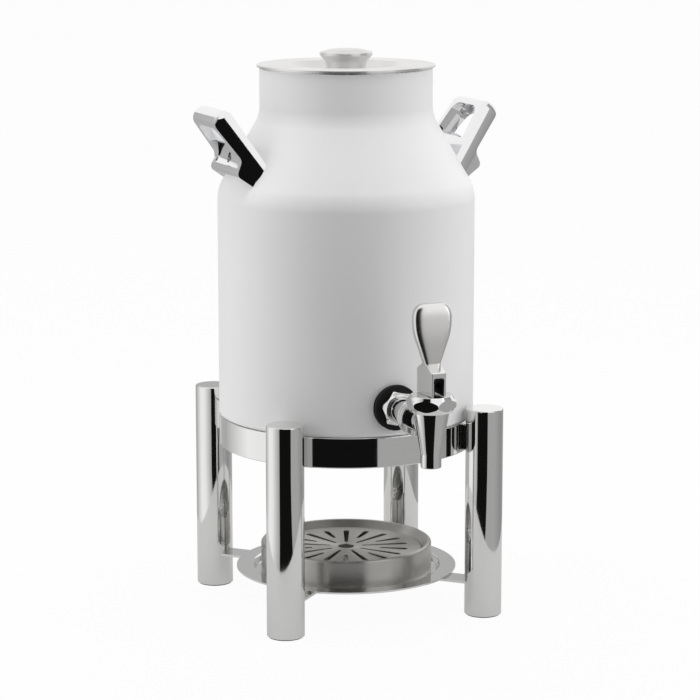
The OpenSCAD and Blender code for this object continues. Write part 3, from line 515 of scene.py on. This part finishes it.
def drip_pan():
    """Pan with a shelf for the grate and a rim folded down round it."""
    wall, play, shelf_w, fold_w = 1.2, 0.4, 4.3, 3.6
    fold_gap, slope_start = 0.6, 1.1
    outer, rim_top = PAN_HIGH.x, PAN_HIGH.z
    shelf, floor = GRATE_LOW.z, PAN_LOW.z + wall
    under_shelf, under_rim = shelf - wall, rim_top - wall - fold_gap
    pocket = GRATE_HIGH.x + play
    bowl = pocket - shelf_w
    bm = turned(
        [
            (ON_AXIS, PAN_LOW.z, 0), (bowl, PAN_LOW.z, 4), (bowl, under_shelf, 1.2),
            (pocket + wall, under_shelf, 1.2), (pocket + wall, shelf + slope_start - 0.2, 0.8),
            (outer - 2 * wall, under_rim, 0.6), (outer - wall, under_rim, 0.5),
            (outer - wall, PAN_LOW.z, 0.1), (outer, PAN_LOW.z, 0.1),
            (outer, rim_top, 1.9), (outer - fold_w, rim_top, 1.9), (pocket, shelf + slope_start, 1.0),
            (pocket, shelf, 0.3), (bowl - wall, shelf, 1.2), (bowl - wall, floor, 3), (ON_AXIS, floor, 0),
        ],
        steps=ROUND_WIDE, closed=True,
    )
    make_piece(bm, "drip_pan", "tray", "brushed_steel", ["tray_pan"])


def slot_hole(bm, turn, inner, outer, inner_w, outer_w):
    """Tapered slot outline with round ends, turned about the grate's centre."""
    steps = 10
    inner_end = (inner + inner_w / 2, inner_w / 2, 90)
    outer_end = (outer - outer_w / 2, outer_w / 2, -90)
    rim = []
    for middle, radius, start in (inner_end, outer_end):
        for i in range(steps + 1):
            angle = radians(start + 180 * i / steps)
            rim.append(Vector((middle + radius * cos(angle), radius * sin(angle), 0)))
    place = Matrix.Rotation(radians(turn), 3, "Z")
    verts = [bm.verts.new(place @ p) for p in rim]
    for a, b in zip(verts, verts[1:] + verts[:1]):
        bm.edges.new((a, b))


def grate_disc():
    """Loose plate with alternating long and short slots and a centre hole."""
    pairs, first = 9, 68
    reach, wide, narrow = 55, 5.2, 2.8
    long_start, short_start, hole, hole_sides = 14, 30, 7.1, 48
    edge = 0.25
    bm = bmesh.new()
    for radius, sides in ((GRATE_HIGH.x, ROUND_WIDE), (hole, hole_sides)):
        bmesh.ops.create_circle(bm, segments=sides, radius=radius, cap_ends=False)
    for i in range(2 * pairs):
        start = long_start if i % 2 == 0 else short_start
        slot_hole(bm, first + i * 180 / pairs, start, reach, narrow, wide)
    bmesh.ops.triangle_fill(bm, use_beauty=True, use_dissolve=False, edges=bm.edges[:])
    bmesh.ops.translate(bm, vec=(0, 0, GRATE_LOW.z), verts=bm.verts)
    raised = bmesh.ops.extrude_face_region(bm, geom=bm.faces[:])["geom"]
    top = [g for g in raised if isinstance(g, bmesh.types.BMVert)]
    bmesh.ops.translate(bm, vec=(0, 0, GRATE_HIGH.z - GRATE_LOW.z), verts=top)
    clean(bm)
    soften(bm, edge, 2, 60)
    make_piece(bm, "grate_disc", "grate", "brushed_grate", ["tray_grate"])


# Churn


def churn_shell():
    """Milk churn form: straight wall, cone and neck, turned in at the foot."""
    wall, lip = 1.5, 20.7
    foot_r, shoulder_r, throat_r = 3, 32, 25
    foot = SHELL_LOW.z
    neck = SHOULDER_Z + (BODY_R - NECK_R) / tan(CONE_SLOPE)
    section = hollow(
        [
            (BODY_R - lip, foot, 0), (BODY_R, foot, foot_r), (BODY_R, SHOULDER_Z, shoulder_r),
            (NECK_R, neck, throat_r), (NECK_R, SHELL_HIGH.z, 0),
        ],
        wall,
    )
    bm = turned(section, steps=ROUND_WIDE, closed=True)
    make_piece(bm, "churn_shell", "churn", "white_powder_coat", ["outer_shell"])


def churn_tank():
    """Steel tank that hangs in the shell by its neck flange."""
    wall, gap, neck_gap = 1.2, 9, 5.5
    floor_r, shoulder_r, throat_r = 5, 27.5, 25
    radius, neck_radius = BODY_R - gap, NECK_R - neck_gap
    shoulder = SHOULDER_Z - gap * tan(CONE_SLOPE / 2)
    neck = shoulder + (radius - neck_radius) / tan(CONE_SLOPE)
    top = SHELL_HIGH.z
    section = hollow(
        [
            (ON_AXIS, TANK_LOW.z, 0), (radius, TANK_LOW.z, floor_r), (radius, shoulder, shoulder_r),
            (neck_radius, neck, throat_r), (neck_radius, top, wall), (NECK_R, top, 0),
        ],
        wall,
    )
    bm = turned(section, steps=ROUND_WIDE, closed=True)
    make_piece(bm, "churn_tank", "churn", "tank_steel", ["inner_tank"])


def churn_base():
    """Base plate with the spigot that centres the churn in the ring."""
    wall, edge = 1.5, 2
    section = hollow(
        [(BASE_HIGH.x, BASE_LOW.z, 0), (BASE_HIGH.x, BASE_HIGH.z, edge), (ON_AXIS, BASE_HIGH.z, 0)], wall,
    )
    bm = turned(section, steps=ROUND_WIDE, closed=True)
    make_piece(bm, "churn_base", "churn", "tank_steel", ["base_plate"])


# Handles


HANDLE_LEAN = radians(36)
HANDLE_REACH = 53.5
HANDLE_RISE = 25
HANDLE_X = BODY_R - HANDLE_RISE * tan(CONE_SLOPE)
HANDLE_AT = Vector((HANDLE_X, 0, SHOULDER_Z + HANDLE_RISE))


def handle_front(inset, top, radius):
    """Front outline of a handle, which narrows upwards, set in from its sides."""
    half, narrowing, low = 29, 0.175, -30
    low_half = half + narrowing * (HANDLE_REACH - low) - inset
    top_half = half + narrowing * (HANDLE_REACH - top) - inset
    return [(-low_half, low, 0), (low_half, low, 0), (top_half, top, radius), (-top_half, top, radius)]


def bow_out(bm, up, out):
    """Gives the sides and the top of a finished handle a slight crown across its depth."""
    rise, half_depth, half_width, centre, most = 1.7, 9, 34, -3.4, 1.4
    strips, strip = 8, 1.3
    for step in range(-strips, strips + 1):
        bmesh.ops.bisect_plane(
            bm, geom=bm.verts[:] + bm.edges[:] + bm.faces[:],
            plane_co=HANDLE_AT + out * (centre + step * strip), plane_no=out,
        )
    for vert in bm.verts:
        from_foot = vert.co - HANDLE_AT
        sink = rise * min(((from_foot.dot(out) - centre) / half_depth) ** 2, most)
        vert.co.y -= sink * from_foot.y / half_width
        vert.co -= up * sink * max(from_foot.dot(up), 0) / HANDLE_REACH


def churn_cone(sink):
    """Solid cone that lies below the shell's cone by sink, across its radius."""
    below, above = 30, 80
    low_r = BODY_R - sink + below * tan(CONE_SLOPE)
    high_r = BODY_R - sink - above * tan(CONE_SLOPE)
    low, high = SHOULDER_Z - below, SHOULDER_Z + above
    return turned([(0, low, 0), (low_r, low, 0), (high_r, high, 0), (0, high, 0)], steps=ROUND_WIDE)


def loop_handle(side):
    """Cast loop with two arms, a top bar and a web that takes the screw."""
    width, half_through = 120, 45
    arm, bar, outer_corner, inner_corner = 6.5, 7.5, 8, 11
    bar_out, bar_in = 5.6, 12.4
    screw_r, screw_seat, screw_clear = 4.25, 3.4, 30
    sink, edge = 1.0, 1.9
    up = Vector((sin(HANDLE_LEAN), 0, cos(HANDLE_LEAN)))
    out = Vector((cos(HANDLE_LEAN), 0, -sin(HANDLE_LEAN)))
    across = Vector((0, 1, 0))
    outer_top = up * HANDLE_REACH + out * bar_out
    inner_top = up * HANDLE_REACH - out * bar_in

    def on_side(x, z):
        return HANDLE_AT + Vector((x, -width / 2, z))

    def on_front(y, s):
        return HANDLE_AT + across * y + up * s - out * half_through

    def above_cone(middle):
        surface = BODY_R - sink - (middle.z - SHOULDER_Z) * tan(CONE_SLOPE)
        return sqrt(middle.x ** 2 + middle.y ** 2) > surface + 0.3

    body = prism(
        [
            (-20, -18, 0), (0.8, -16.6, 0), (15.4, -6.6, 5), (10.6, 6.4, 6),
            (outer_top.x, outer_top.z, 7.5), (inner_top.x, inner_top.z, 6), (-11.5, -1, 0), (-20, -10, 0),
        ],
        on_side, across * width,
    )
    through = out * 2 * half_through
    body = carve(body, prism(handle_front(0, HANDLE_REACH + 1, outer_corner), on_front, through), "INTERSECT")
    opening = prism(handle_front(arm, HANDLE_REACH - bar, inner_corner), on_front, through)
    web = prism(
        [
            (-25, -35, 0), (35, -35, 0), (35, -4.5, 0), (12.8, -1, 4), (9.2, 6, 10),
            (10.2, 17, 1.0), (-1.2, 17.5, 1.0), (-25, -4, 0),
        ],
        on_side, across * width,
    )
    body = carve(body, carve(opening, web))
    body = carve(body, churn_cone(sink))
    normal = Matrix.Translation(HANDLE_AT) @ Matrix.Rotation(pi / 2 - CONE_SLOPE, 4, "Y")
    screw_hole = turned(
        [(0, screw_seat, 0), (screw_r, screw_seat, 0), (screw_r, screw_clear, 0), (0, screw_clear, 0)],
        64, place=normal,
    )
    body = carve(body, screw_hole)
    bmesh.ops.dissolve_limit(body, angle_limit=radians(0.5), verts=body.verts[:], edges=body.edges[:])
    soften(body, edge, 5, 30, above_cone)
    bow_out(body, up, out)
    if side < 0:
        bmesh.ops.rotate(body, cent=(0, 0, 0), matrix=Matrix.Rotation(pi, 3, "Z"), verts=body.verts)
    name = "right" if side > 0 else "left"
    make_piece(body, "loop_handle_" + name, "churn", "cast_chrome", ["handle_" + name])


# Tap


SHANK_R = 10.5
THREAD_BORE = SHANK_R + 0.05


def sealing_washer():
    """Thick rubber washer whose back follows the churn's wall."""
    radius = (WASHER_HIGH.x - WASHER_LOW.x) / 2
    bore, start, in_front, sink = 10.8, 100, 105, 0.1
    face = -WASHER_LOW.y
    bm = turned(
        [(bore, start, 0), (radius, start, 0), (radius, face, 1.0), (bore, face, 0.4)],
        closed=True, place=ALONG_SHANK,
    )
    for vert in bm.verts:
        if vert.co.y > -in_front:
            vert.co.y = -sqrt((BODY_R - sink) ** 2 - vert.co.x ** 2)
    make_piece(bm, "sealing_washer", "churn", "black_rubber", ["tap_washer"])


def shank_nut():
    """Hexagon nut with a turned front that leaves its flats short."""
    corner, front_r, turn = 15.8, 12.4, radians(-12)
    flats, shoulder, spare = 2.6, 4, 1
    start, end = -NUT_HIGH.y, -NUT_LOW.y
    section = [
        (THREAD_BORE, start, 0), (corner + spare, start, 0), (corner + spare, start + flats, 1),
        (corner - spare, start + shoulder, 3), (front_r, end, 1.5), (THREAD_BORE, end, 0.3),
    ]
    bm = six_sided(section, corner, turn, ALONG_SHANK, closed=True)
    make_piece(bm, "shank_nut", "churn", "tap_chrome", ["tap_hex_nut"])


def shank_tube():
    """Shank from inside the tank to the barrel."""
    bore, start, barrel_wall = 6.5, 82.0, 10.5
    end = -TAP_Y - barrel_wall
    bm = turned(
        [(bore, start, 0.3), (SHANK_R, start, 0.5), (SHANK_R, end, 0), (bore, end, 0)],
        closed=True, place=ALONG_SHANK,
    )
    make_piece(bm, "shank_tube", "churn", "tap_chrome", ["tap_shank"])


def coupling_ring():
    """Ring with two grooves round the shank."""
    grooves, depth, half = 2, 0.7, 1.0
    radius = (COUPLING_HIGH.x - COUPLING_LOW.x) / 2
    start, end = -COUPLING_HIGH.y, -COUPLING_LOW.y
    pitch = (end - start) / (grooves + 1)
    rim = [(radius, start, 0.8)]
    for i in range(1, grooves + 1):
        middle = start + i * pitch
        rim += [(radius, middle - half, 0.3), (radius - depth, middle, 0.2), (radius, middle + half, 0.3)]
    rim.append((radius, end, 0.8))
    section = [(THREAD_BORE, start, 0)] + rim + [(THREAD_BORE, end, 0)]
    bm = turned(section, closed=True, place=ALONG_SHANK)
    make_piece(bm, "coupling_ring", "churn", "tap_chrome", ["tap_coupling_ring"])


def tap_body():
    """Conical barrel with its spout, and the chamber that the valve works in."""
    spout_r, top_r, collar = 8.5, 14.4, 2
    bore, chamber, neck = 6, 10, 12
    seat_drop, foot_drop = 7.6, 23.8
    seat, foot = TAP_Z - seat_drop, TAP_Z - foot_drop
    low, rest, high = BARREL_LOW.z, BONNET_LOW.z, BARREL_HIGH.z
    bm = turned(
        [
            (bore, low, 0.3), (spout_r, low, 0.8), (spout_r, foot, 3), (top_r, rest - collar, 1.5),
            (top_r, rest, 0.2), (neck, rest, 0), (neck, high, 0.3),
            (chamber, high, 0.3), (chamber, seat, 0), (bore, seat, 0),
        ],
        closed=True, place=AT_BARREL,
    )
    make_piece(bm, "tap_body", "churn", "tap_chrome", ["tap_barrel"])


def bonnet():
    """Round bonnet with six flats, which show as ovals."""
    corner, end, shoulder_in, turn = 21, 16.8, 3.0, radians(-97.5)
    shoulder, belly = corner * cos(pi / 6) + 0.4, corner + 1.4
    low, high = BONNET_LOW.z, BONNET_HIGH.z
    section = [
        (0, low, 0), (end, low, 0.8), (shoulder, low + shoulder_in, 3), (belly, (low + high) / 2, 4),
        (shoulder, high - shoulder_in, 3), (end, high, 0.8), (0, high, 0),
    ]
    bm = six_sided(section, corner, turn, AT_BARREL)
    make_piece(bm, "bonnet", "churn", "tap_chrome", ["tap_bonnet"])


def lever_block():
    """Slotted block that rocks on the bonnet, narrowed to its neck at the front and back, with painted shade
    inside its slot.
    """
    half_block, half_slot, depth, neck_depth = 6.4, 4.1, 30, 9
    straight, neck_rise, slot_rise, edge = 19.8, 25.4, 15.2, 0.7
    low = LEVER_LOW.z
    straight_top, neck_z, slot_top = low + straight, low + neck_rise, low + slot_rise
    block = prism(
        [
            (-half_block, low, 0), (-half_slot, low, 0), (-half_slot, slot_top, 1.5),
            (half_slot, slot_top, 1.5), (half_slot, low, 0), (half_block, low, 0),
            (half_block, neck_z, 0), (-half_block, neck_z, 0),
        ],
        lambda x, z: Vector((x, TAP_Y - depth / 2, z)), Vector((0, depth, 0)),
    )
    for side in (-1, 1):
        normal = Vector((0, side * (neck_z - straight_top), (depth - neck_depth) / 2)).normalized()
        cut = bmesh.ops.bisect_plane(
            block, geom=block.verts[:] + block.edges[:] + block.faces[:], clear_outer=True,
            plane_co=Vector((0, TAP_Y + side * depth / 2, straight_top)), plane_no=normal,
        )
        rim = [g for g in cut["geom_cut"] if isinstance(g, bmesh.types.BMEdge)]
        bmesh.ops.contextual_create(block, geom=rim)
    soften(clean(block), edge, 3, 30)

    def in_slot(face):
        x, _, z = face.calc_center_median()
        inside = abs(x) < half_slot + 0.2 and low + 0.8 < z < slot_top + 0.2
        return inside and abs(face.normal.y) < 0.3

    # Faces inside the slot get the second material, a near-black painted shade where the slot's recess is in
    # shade
    for face in block.faces:
        if in_slot(face):
            face.material_index = 1
    made = make_piece(block, "lever_block", "lever", "tap_chrome", ["tap_lever"])
    # Second material: the near-black painted shade inside the slot
    made.data.materials.append(SLOT_PAINTED_SHADE)


def lever_paddle():
    """Domed paddle that stands on the block's neck, as levels down from its top."""
    squareness = 4.4
    levels = [
        (-52, 6.6, 4.5), (-49.5, 6.8, 4.6), (-46, 8.0, 4.9), (-41.5, 9.6, 5.2), (-36.5, 11.3, 5.5),
        (-31.5, 13.1, 5.8), (-26.5, 14.7, 5.95), (-21.5, 15.8, 6.0), (-16.5, 16.3, 5.95),
        (-11.5, 16.4, 5.8), (-7.5, 15.9, 5.5), (-4.5, 14.8, 5.1), (-2.3, 13.2, 4.5), (-0.8, 11.2, 3.6),
        (-0.1, 9.2, 2.2),
    ]
    rings = [
        (Matrix.Translation((0, TAP_Y, LEVER_HIGH.z + drop)), half_width, half_depth, squareness)
        for drop, half_width, half_depth in levels
    ]
    made = make_piece(loft(rings), "lever_paddle", "lever", "tap_chrome", ["tap_lever"], 50)
    made.data.materials[0] = SATIN_PADDLE
    made.modifiers.remove(made.modifiers["even_normals"])
    smooth = made.modifiers.new("rounding", "SUBSURF")
    smooth.levels = smooth.render_levels = 2


def valve_pin():
    """Pin pressed into the lever's block, ground flush and hidden in it."""
    reach, radius = 6.1, 1.5
    place = Matrix.Translation((0, TAP_Y, PIN_Z)) @ Matrix.Rotation(pi / 2, 4, "Y")
    bm = turned([(0, -reach, 0), (radius, -reach, 0.2), (radius, reach, 0.2), (0, reach, 0)], 32, place=place)
    make_piece(bm, "valve_pin", "lever", "plain_steel", ["lever_pin"])


# Lid


def lid_cover():
    """Turned lid with a dished middle and a skirt that carries the gasket."""
    sheet, lip_r, seat_r, depth = 2, 49.1, 19, 11.3
    skirt_r, skirt_w, lip_w = 66.4, 2, 1
    groove, groove_w, groove_rise = 1.2, 4, 3
    bend_share, bend_rise = 0.45, 0.12
    low, top, flange = LID_LOW.z, LID_HIGH.z, LID_HIGH.x
    under, dish = top - sheet, top - depth
    groove_r, groove_low = skirt_r - groove, low + groove_rise
    groove_high = groove_low + groove_w
    bend_r, bend_z = seat_r + (lip_r - seat_r) * bend_share, dish + depth * bend_rise
    bm = turned(
        [
            (ON_AXIS, dish, 0), (seat_r, dish, 6), (bend_r, bend_z, 16), (lip_r, top, 2.5),
            (flange, top, 0.5), (flange, under, 0.4), (skirt_r, under, 0.2), (skirt_r, groove_high, 0.1),
            (groove_r, groove_high, 0), (groove_r, groove_low, 0), (skirt_r, groove_low, 0.1),
            (skirt_r, low, 0.3), (skirt_r - skirt_w, low, 0.3), (skirt_r - skirt_w, under, 0.2),
            (lip_r + lip_w, under, 2), (bend_r, bend_z - sheet, 16), (seat_r, dish - sheet, 4),
            (ON_AXIS, dish - sheet, 0),
        ],
        steps=ROUND_WIDE, closed=True,
    )
    make_piece(bm, "lid_cover", "lid", "satin_steel", ["lid_plate"])


def knob():
    """Waisted knob with a low domed top."""
    rim, waist, flare = KNOB_HIGH.x, 17, 1
    low, top = KNOB_LOW.z, KNOB_HIGH.z
    foot, throat, band, dome = 10, 10.5, 2.6, 2.8
    bm = turned(
        [
            (0, low, 0), (waist - flare, low, 0.5), (waist, low + foot, 6), (waist + flare, top - throat, 6),
            (rim, top - dome - band, 1), (rim, top - dome, 1.2), (rim * 0.55, top - 0.3, 20), (0, top, 0),
        ],
    )
    make_piece(bm, "knob", "lid", "satin_steel", ["lid_knob"])


for corner in CORNERS:
    leg_tube(corner)
    leg_top(corner)
carrying_ring()
ring_pads()
dish_holder()
drip_pan()
grate_disc()
churn_shell()
churn_tank()
churn_base()
for side in (-1, 1):
    loop_handle(side)
sealing_washer()
shank_nut()
shank_tube()
coupling_ring()
tap_body()
bonnet()
lever_block()
lever_paddle()
valve_pin()
lid_cover()
knob()


# Studio


CAMERA_AZIMUTH = radians(-21.79)
AIM = (0, 0, 0.24)


def studio_floor():
    """Pale floor that shows as white and keeps a faint shadow."""
    half, seen_white, mirrored_white = 40, 0.95, 0.7
    bm = bmesh.new()
    bmesh.ops.create_grid(bm, x_segments=1, y_segments=1, size=half)
    mesh = bpy.data.meshes.new("floor")
    bm.to_mesh(mesh)
    bm.free()
    floor = bpy.data.objects.new("floor", mesh)
    bpy.context.scene.collection.objects.link(floor)
    material, tree, shader = finish("floor")
    shader.inputs["Base Color"].default_value = (0.72, 0.72, 0.72, 1)
    shader.inputs["Roughness"].default_value = 0.9
    rays = add(tree, "LightPath").outputs
    direct = add(tree, "Math", {0: rays["Is Camera Ray"], 1: seen_white}, operation="MULTIPLY")
    mirrored = add(tree, "Math", {0: rays["Is Glossy Ray"], 1: mirrored_white}, operation="MULTIPLY")
    share = add(tree, "Math", {0: direct.outputs[0], 1: mirrored.outputs[0]}, operation="MAXIMUM")
    tone = tinted(tree, rays["Is Glossy Ray"], (1, 1, 1), (0.6, 0.6, 0.6))
    white = add(tree, "Emission", {"Color": tone, "Strength": 1.0})
    mixed = add(tree, "MixShader", {0: share.outputs[0], 1: shader.outputs[0], 2: white.outputs[0]})
    out = next(n for n in tree.nodes if n.type == "OUTPUT_MATERIAL")
    tree.links.new(mixed.outputs[0], out.inputs["Surface"])
    mesh.materials.append(material)


def studio_world(fill=0.8):
    """White where it is seen or reflected, and a plain soft fill for everything else."""
    world = bpy.data.worlds.new("studio")
    bpy.context.scene.world = world
    world.use_nodes = True
    tree = world.node_tree
    tree.nodes.clear()
    rays = add(tree, "LightPath").outputs
    seen = add(tree, "Math", {0: rays["Is Camera Ray"], 1: rays["Is Glossy Ray"]}, operation="MAXIMUM")
    seen = add(tree, "Math", {0: seen.outputs[0], 1: rays["Is Transmission Ray"]}, operation="MAXIMUM")
    strength = add(
        tree, "MapRange",
        {"Value": seen.outputs[0], "From Min": 0.0, "From Max": 1.0, "To Min": fill, "To Max": 1.0},
    )
    sky = add(tree, "Background", {"Color": (1, 1, 1, 1), "Strength": strength.outputs[0]})
    add(tree, "OutputWorld", {"Surface": sky.outputs[0]})


def softbox(name, at, size, power, in_metal=True):
    """Area lamp aimed at the urn, which may be kept out of the metal's reflections."""
    lamp = bpy.data.lights.new(name, "AREA")
    lamp.shape, lamp.size, lamp.size_y = "RECTANGLE", *size
    lamp.energy = power
    box = bpy.data.objects.new(name, lamp)
    box.location = at
    box.rotation_euler = (Vector(AIM) - at).to_track_quat("-Z", "Y").to_euler()
    box.visible_glossy = in_metal
    bpy.context.scene.collection.objects.link(box)


def from_camera(right, front, height=0.0):
    """Place as the camera sees it: right of the urn's axis and in front of it, at a height, in metres."""
    turn = CAMERA_AZIMUTH
    return Vector((right * cos(turn) + front * sin(turn), right * sin(turn) - front * cos(turn), height))


def card(name, start, end, rows, shades, shows_to_all=False):
    """Studio card that shows in the polished metal, shaded evenly from its start to its end.

    The start and end are directions in degrees, to the right of the camera as seen from the urn, and
    rows are the lower and upper edge, each with a distance at either end and a height, in metres.
    """
    columns = 12
    chains = []
    bm = bmesh.new()
    for near, far, height in rows:
        chain = []
        for i in range(columns + 1):
            share = i / columns
            heading = radians(start + share * (end - start))
            distance = near + share * (far - near)
            chain.append(bm.verts.new(from_camera(distance * sin(heading), distance * cos(heading), height)))
        chains.append([bm.edges.new(pair) for pair in zip(chain, chain[1:])])
    bmesh.ops.bridge_loops(bm, edges=chains[0] + chains[1])
    mesh = bpy.data.meshes.new(name)
    bm.to_mesh(mesh)
    bm.free()
    made = bpy.data.objects.new(name, mesh)
    bpy.context.scene.collection.objects.link(made)
    made.visible_camera = made.visible_shadow = False
    made.visible_diffuse = shows_to_all
    material = bpy.data.materials.new(name)
    material.use_nodes = True
    tree = material.node_tree
    tree.nodes.clear()
    place = place_of(tree)
    right, front = (
        add(tree, "VectorMath", {0: place, 1: axis}, operation="DOT_PRODUCT").outputs["Value"]
        for axis in (from_camera(1, 0), from_camera(0, 1))
    )
    heading = add(tree, "Math", {0: right, 1: front}, operation="ARCTAN2").outputs[0]
    share = add(tree, "MapRange", {"Value": heading, "From Min": radians(start), "From Max": radians(end)})
    tone = tinted(tree, share.outputs[0], (shades[0],) * 3, (shades[1],) * 3)
    glow = add(tree, "Emission", {"Color": tone, "Strength": 1.0})
    add(tree, "OutputMaterial", {"Surface": glow.outputs[0]})
    mesh.materials.append(material)


def surround(name, start, end, height, shades, shows_to_all=False):
    """Upright card and the studio's floor between it and the edge of the white table.

    The start and end are a direction in degrees and the card's distance in metres there.
    """
    table_r, floor_z = 0.355, 0.0015
    (heading_a, near), (heading_b, far) = start, end
    card(name, heading_a, heading_b, ((near, far, floor_z), (near, far, height)), shades, shows_to_all)
    card(name + "_floor", heading_a, heading_b, ((table_r, table_r, floor_z), (near, far, floor_z)), shades)


studio_floor()
studio_world()
softbox("key", from_camera(-1.9, 0.3, 1.1), (1.4, 1.8), 8)
softbox("top", from_camera(0, 0.2, 2.2), (1.2, 1.2), 12, False)
softbox("top_soft", from_camera(0, 0.2, 2.2), (1.2, 1.2), 6)
softbox("right", from_camera(1.9, 0.4, 0.8), (0.8, 1.6), 6)
surround("dark_gap", (-29.4, 0.46), (25.8, 0.655), 0.68, (0.006, 0.006), True)
surround("left_front", (-67.5, 0.57), (-29.4, 0.46), 0.9, (0.95, 0.40))
surround("left_side", (-90, 0.52), (-67.5, 0.57), 0.9, (1.0, 0.95))
surround("left_back", (-130, 0.55), (-90, 0.52), 0.9, (0.45, 1.0))
surround("back_left", (-180, 0.62), (-130, 0.55), 0.45, (0.5, 0.45))
surround("back_right", (105, 0.57), (180, 0.62), 0.25, (0.30, 0.5))
surround("right_side", (64, 0.69), (105, 0.57), 0.9, (0.42, 0.30))
surround("right_front", (25.8, 0.655), (64, 0.69), 0.16, (0.42, 0.42))


def studio_camera():
    """Camera of the photograph: in front, to the left of the tap and a little above."""
    azimuth, distance, height = CAMERA_AZIMUTH, 2.25403, 0.6489
    pitch, pan = 0.18686, 0.00151
    sensor, lens = 36, 135.5
    data = bpy.data.cameras.new("camera")
    data.sensor_width, data.lens = sensor, lens
    camera = bpy.data.objects.new("camera", data)
    camera.location = (distance * sin(azimuth), -distance * cos(azimuth), height)
    camera.rotation_euler = (pi / 2 - pitch, 0, azimuth - pan)
    bpy.context.scene.collection.objects.link(camera)
    bpy.context.scene.camera = camera


studio_camera()
bpy.context.scene.view_settings.view_transform = "Standard"
